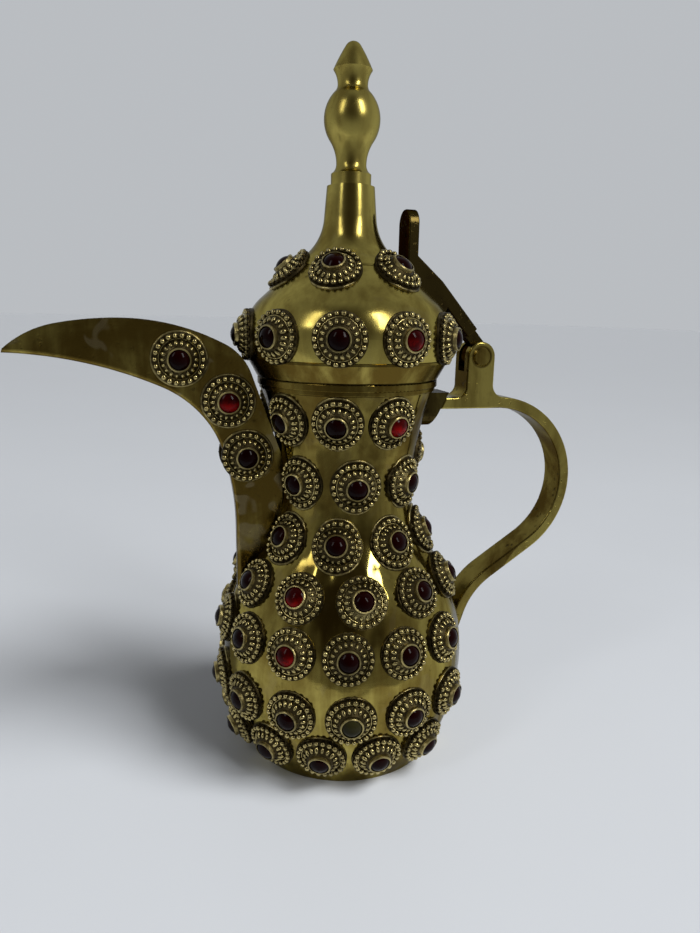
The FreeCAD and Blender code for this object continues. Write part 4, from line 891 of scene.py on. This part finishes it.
def set_camera(scene, stage):
    """The camera at the photograph's place and angle."""
    lens = bpy.data.cameras.new("camera")
    lens.sensor_fit = "VERTICAL"
    lens.sensor_height = PICTURE_HEIGHT
    lens.lens = stage.focal_length
    lens.clip_start = NEAREST_SEEN
    turn = Matrix.Rotation(-stage.camera_turn, 4, "Z")
    tilt = Matrix.Rotation(math.pi / 2 - stage.camera_fall, 4, "X")
    roll = Matrix.Rotation(stage.camera_roll, 4, "Z")
    camera = bpy.data.objects.new("camera", lens)
    camera.matrix_world = Matrix.Translation(stage.camera_place) @ turn @ tilt @ roll
    scene.collection.objects.link(camera)
    scene.camera = camera


# Operators
class COFFEE_POT_OT_brass(bpy.types.Operator):
    """Give the brass pieces their aged finishes"""
    bl_idname = "coffee_pot.brass"
    bl_label = "Brass"

    def execute(self, context):
        for name, grade in BRASS_GRADES.items():
            dress(grade.pieces, brass_finish(name, context.scene.pot_brass, grade))
        return {"FINISHED"}


class COFFEE_POT_OT_rosettes(bpy.types.Operator):
    """Give the rosettes' plates and bezels their dark, rubbed finish"""
    bl_idname = "coffee_pot.rosettes"
    bl_label = "Rosettes and Bezels"

    def execute(self, context):
        ornament = context.scene.pot_ornament
        dress(trim("_rosettes"), ground_finish("rosette_ground", ornament, PLATE_RUBBING))
        dress(trim("_bezels"), ground_finish("bezel_brass", ornament, BEZEL_RUBBING))
        return {"FINISHED"}


class COFFEE_POT_OT_beads(bpy.types.Operator):
    """Stamp the ring of beads and the ring of petals on every rosette"""
    bl_idname = "coffee_pot.beads"
    bl_label = "Beads and Petals"

    def execute(self, context):
        ornament = context.scene.pot_ornament
        bead = ornament.bead_radius
        petal = ornament.petal_width
        shared = {
            "Reach": ornament.reach,
            "Unevenness": ornament.unevenness,
            "Seed": ornament.seed,
            "Material": relief_finish("relief_brass", ornament, RELIEF_TIPS),
        }
        beads = {
            "Count": ornament.bead_count,
            "Ring": ornament.bead_ring,
            "Slope": 0.0,
            "Bead": (bead, bead, bead),
        }
        petals = {
            "Count": ornament.petal_count,
            "Ring": ornament.petal_ring,
            "Slope": ornament.petal_slope,
            "Bead": (ornament.petal_length, petal, petal),
        }
        stamp(bead_tree(), {"beads": {**shared, **beads}, "petals": {**shared, **petals}})
        return {"FINISHED"}


class COFFEE_POT_OT_wires(bpy.types.Operator):
    """Lay a wire between the beads and the petals of every rosette"""
    bl_idname = "coffee_pot.wires"
    bl_label = "Wires"

    def execute(self, context):
        ornament = context.scene.pot_ornament
        wires = {
            "Reach": ornament.reach,
            "Ring": ornament.wire_ring,
            "Thickness": ornament.wire_thickness,
            "Material": relief_finish("wire_brass", ornament, WIRE_TIPS),
        }
        stamp(wire_tree(), {"wires": wires})
        return {"FINISHED"}


class COFFEE_POT_OT_seams(bpy.types.Operator):
    """Run a dark solder seam round every rosette, on the wall that carries it"""
    bl_idname = "coffee_pot.seams"
    bl_label = "Solder Seams"

    def execute(self, context):
        ornament = context.scene.pot_ornament
        seams = {
            "Ring": ornament.seam_ring,
            "Thickness": ornament.seam_thickness,
            "Material": ground_finish("solder", ornament, SOLDER_RUBBING),
        }
        tree = seam_tree()
        spout_rows = {"spout": SEATS["pot"]["spout"]}
        pot_rows = {row: seats for row, seats in SEATS["pot"].items() if row not in spout_rows}
        for name, body, wall, rows in (
            ("pot_solder_seams", "pot", "body_shell", pot_rows),
            ("spout_solder_seams", "pot", "spout", spout_rows),
            ("lid_solder_seams", "lid", "lid_dome", SEATS["lid"]),
        ):
            values = dict(seams, Wall=frame["nodes"][wall])
            tie(tree.make(name, seat_points(name, rows.values()), values), body)
        return {"FINISHED"}


class COFFEE_POT_OT_stones(bpy.types.Operator):
    """Give the stones their garnet glass"""
    bl_idname = "coffee_pot.stones"
    bl_label = "Stones"

    def execute(self, context):
        dress(trim("_stones"), glass_finish("garnet_glass", context.scene.pot_stones))
        return {"FINISHED"}


class COFFEE_POT_OT_stage(bpy.types.Operator):
    """Set up the pale floor, the soft studio light and the camera"""
    bl_idname = "coffee_pot.stage"
    bl_label = "Stage"

    def execute(self, context):
        scene = context.scene
        lay_floor(scene, scene.pot_stage)
        light_world(scene, scene.pot_stage)
        hang_lamps(scene)
        set_camera(scene, scene.pot_stage)
        scene.view_settings.view_transform = "Standard"
        return {"FINISHED"}


STEPS = (
    COFFEE_POT_OT_brass,
    COFFEE_POT_OT_rosettes,
    COFFEE_POT_OT_beads,
    COFFEE_POT_OT_wires,
    COFFEE_POT_OT_seams,
    COFFEE_POT_OT_stones,
    COFFEE_POT_OT_stage,
)
SETTINGS = {
    "pot_brass": BrassSettings,
    "pot_ornament": OrnamentSettings,
    "pot_stones": StoneSettings,
    "pot_stage": StageSettings,
}


class COFFEE_POT_PT_steps(bpy.types.Panel):
    """Lists the steps that dress the pot, and their settings"""
    bl_idname = "COFFEE_POT_PT_steps"
    bl_label = "Coffee Pot"
    bl_space_type = "VIEW_3D"
    bl_region_type = "UI"
    bl_category = "Coffee Pot"

    def draw(self, context):
        for step in STEPS:
            self.layout.operator(step.bl_idname)
        for group in SETTINGS:
            settings = getattr(context.scene, group)
            box = self.layout.box()
            for name in settings.__annotations__:
                box.prop(settings, name)


def register():
    for name, group in SETTINGS.items():
        bpy.utils.register_class(group)
        setattr(bpy.types.Scene, name, bpy.props.PointerProperty(type=group))
    for kind in STEPS + (COFFEE_POT_PT_steps,):
        bpy.utils.register_class(kind)


def unregister():
    for kind in (COFFEE_POT_PT_steps,) + STEPS[::-1]:
        bpy.utils.unregister_class(kind)
    for name, group in SETTINGS.items():
        delattr(bpy.types.Scene, name)
        bpy.utils.unregister_class(group)


def main():
    register()
    for step in STEPS:
        group, name = step.bl_idname.split(".")
        getattr(getattr(bpy.ops, group), name)()


if __name__ == "__main__":
    main()
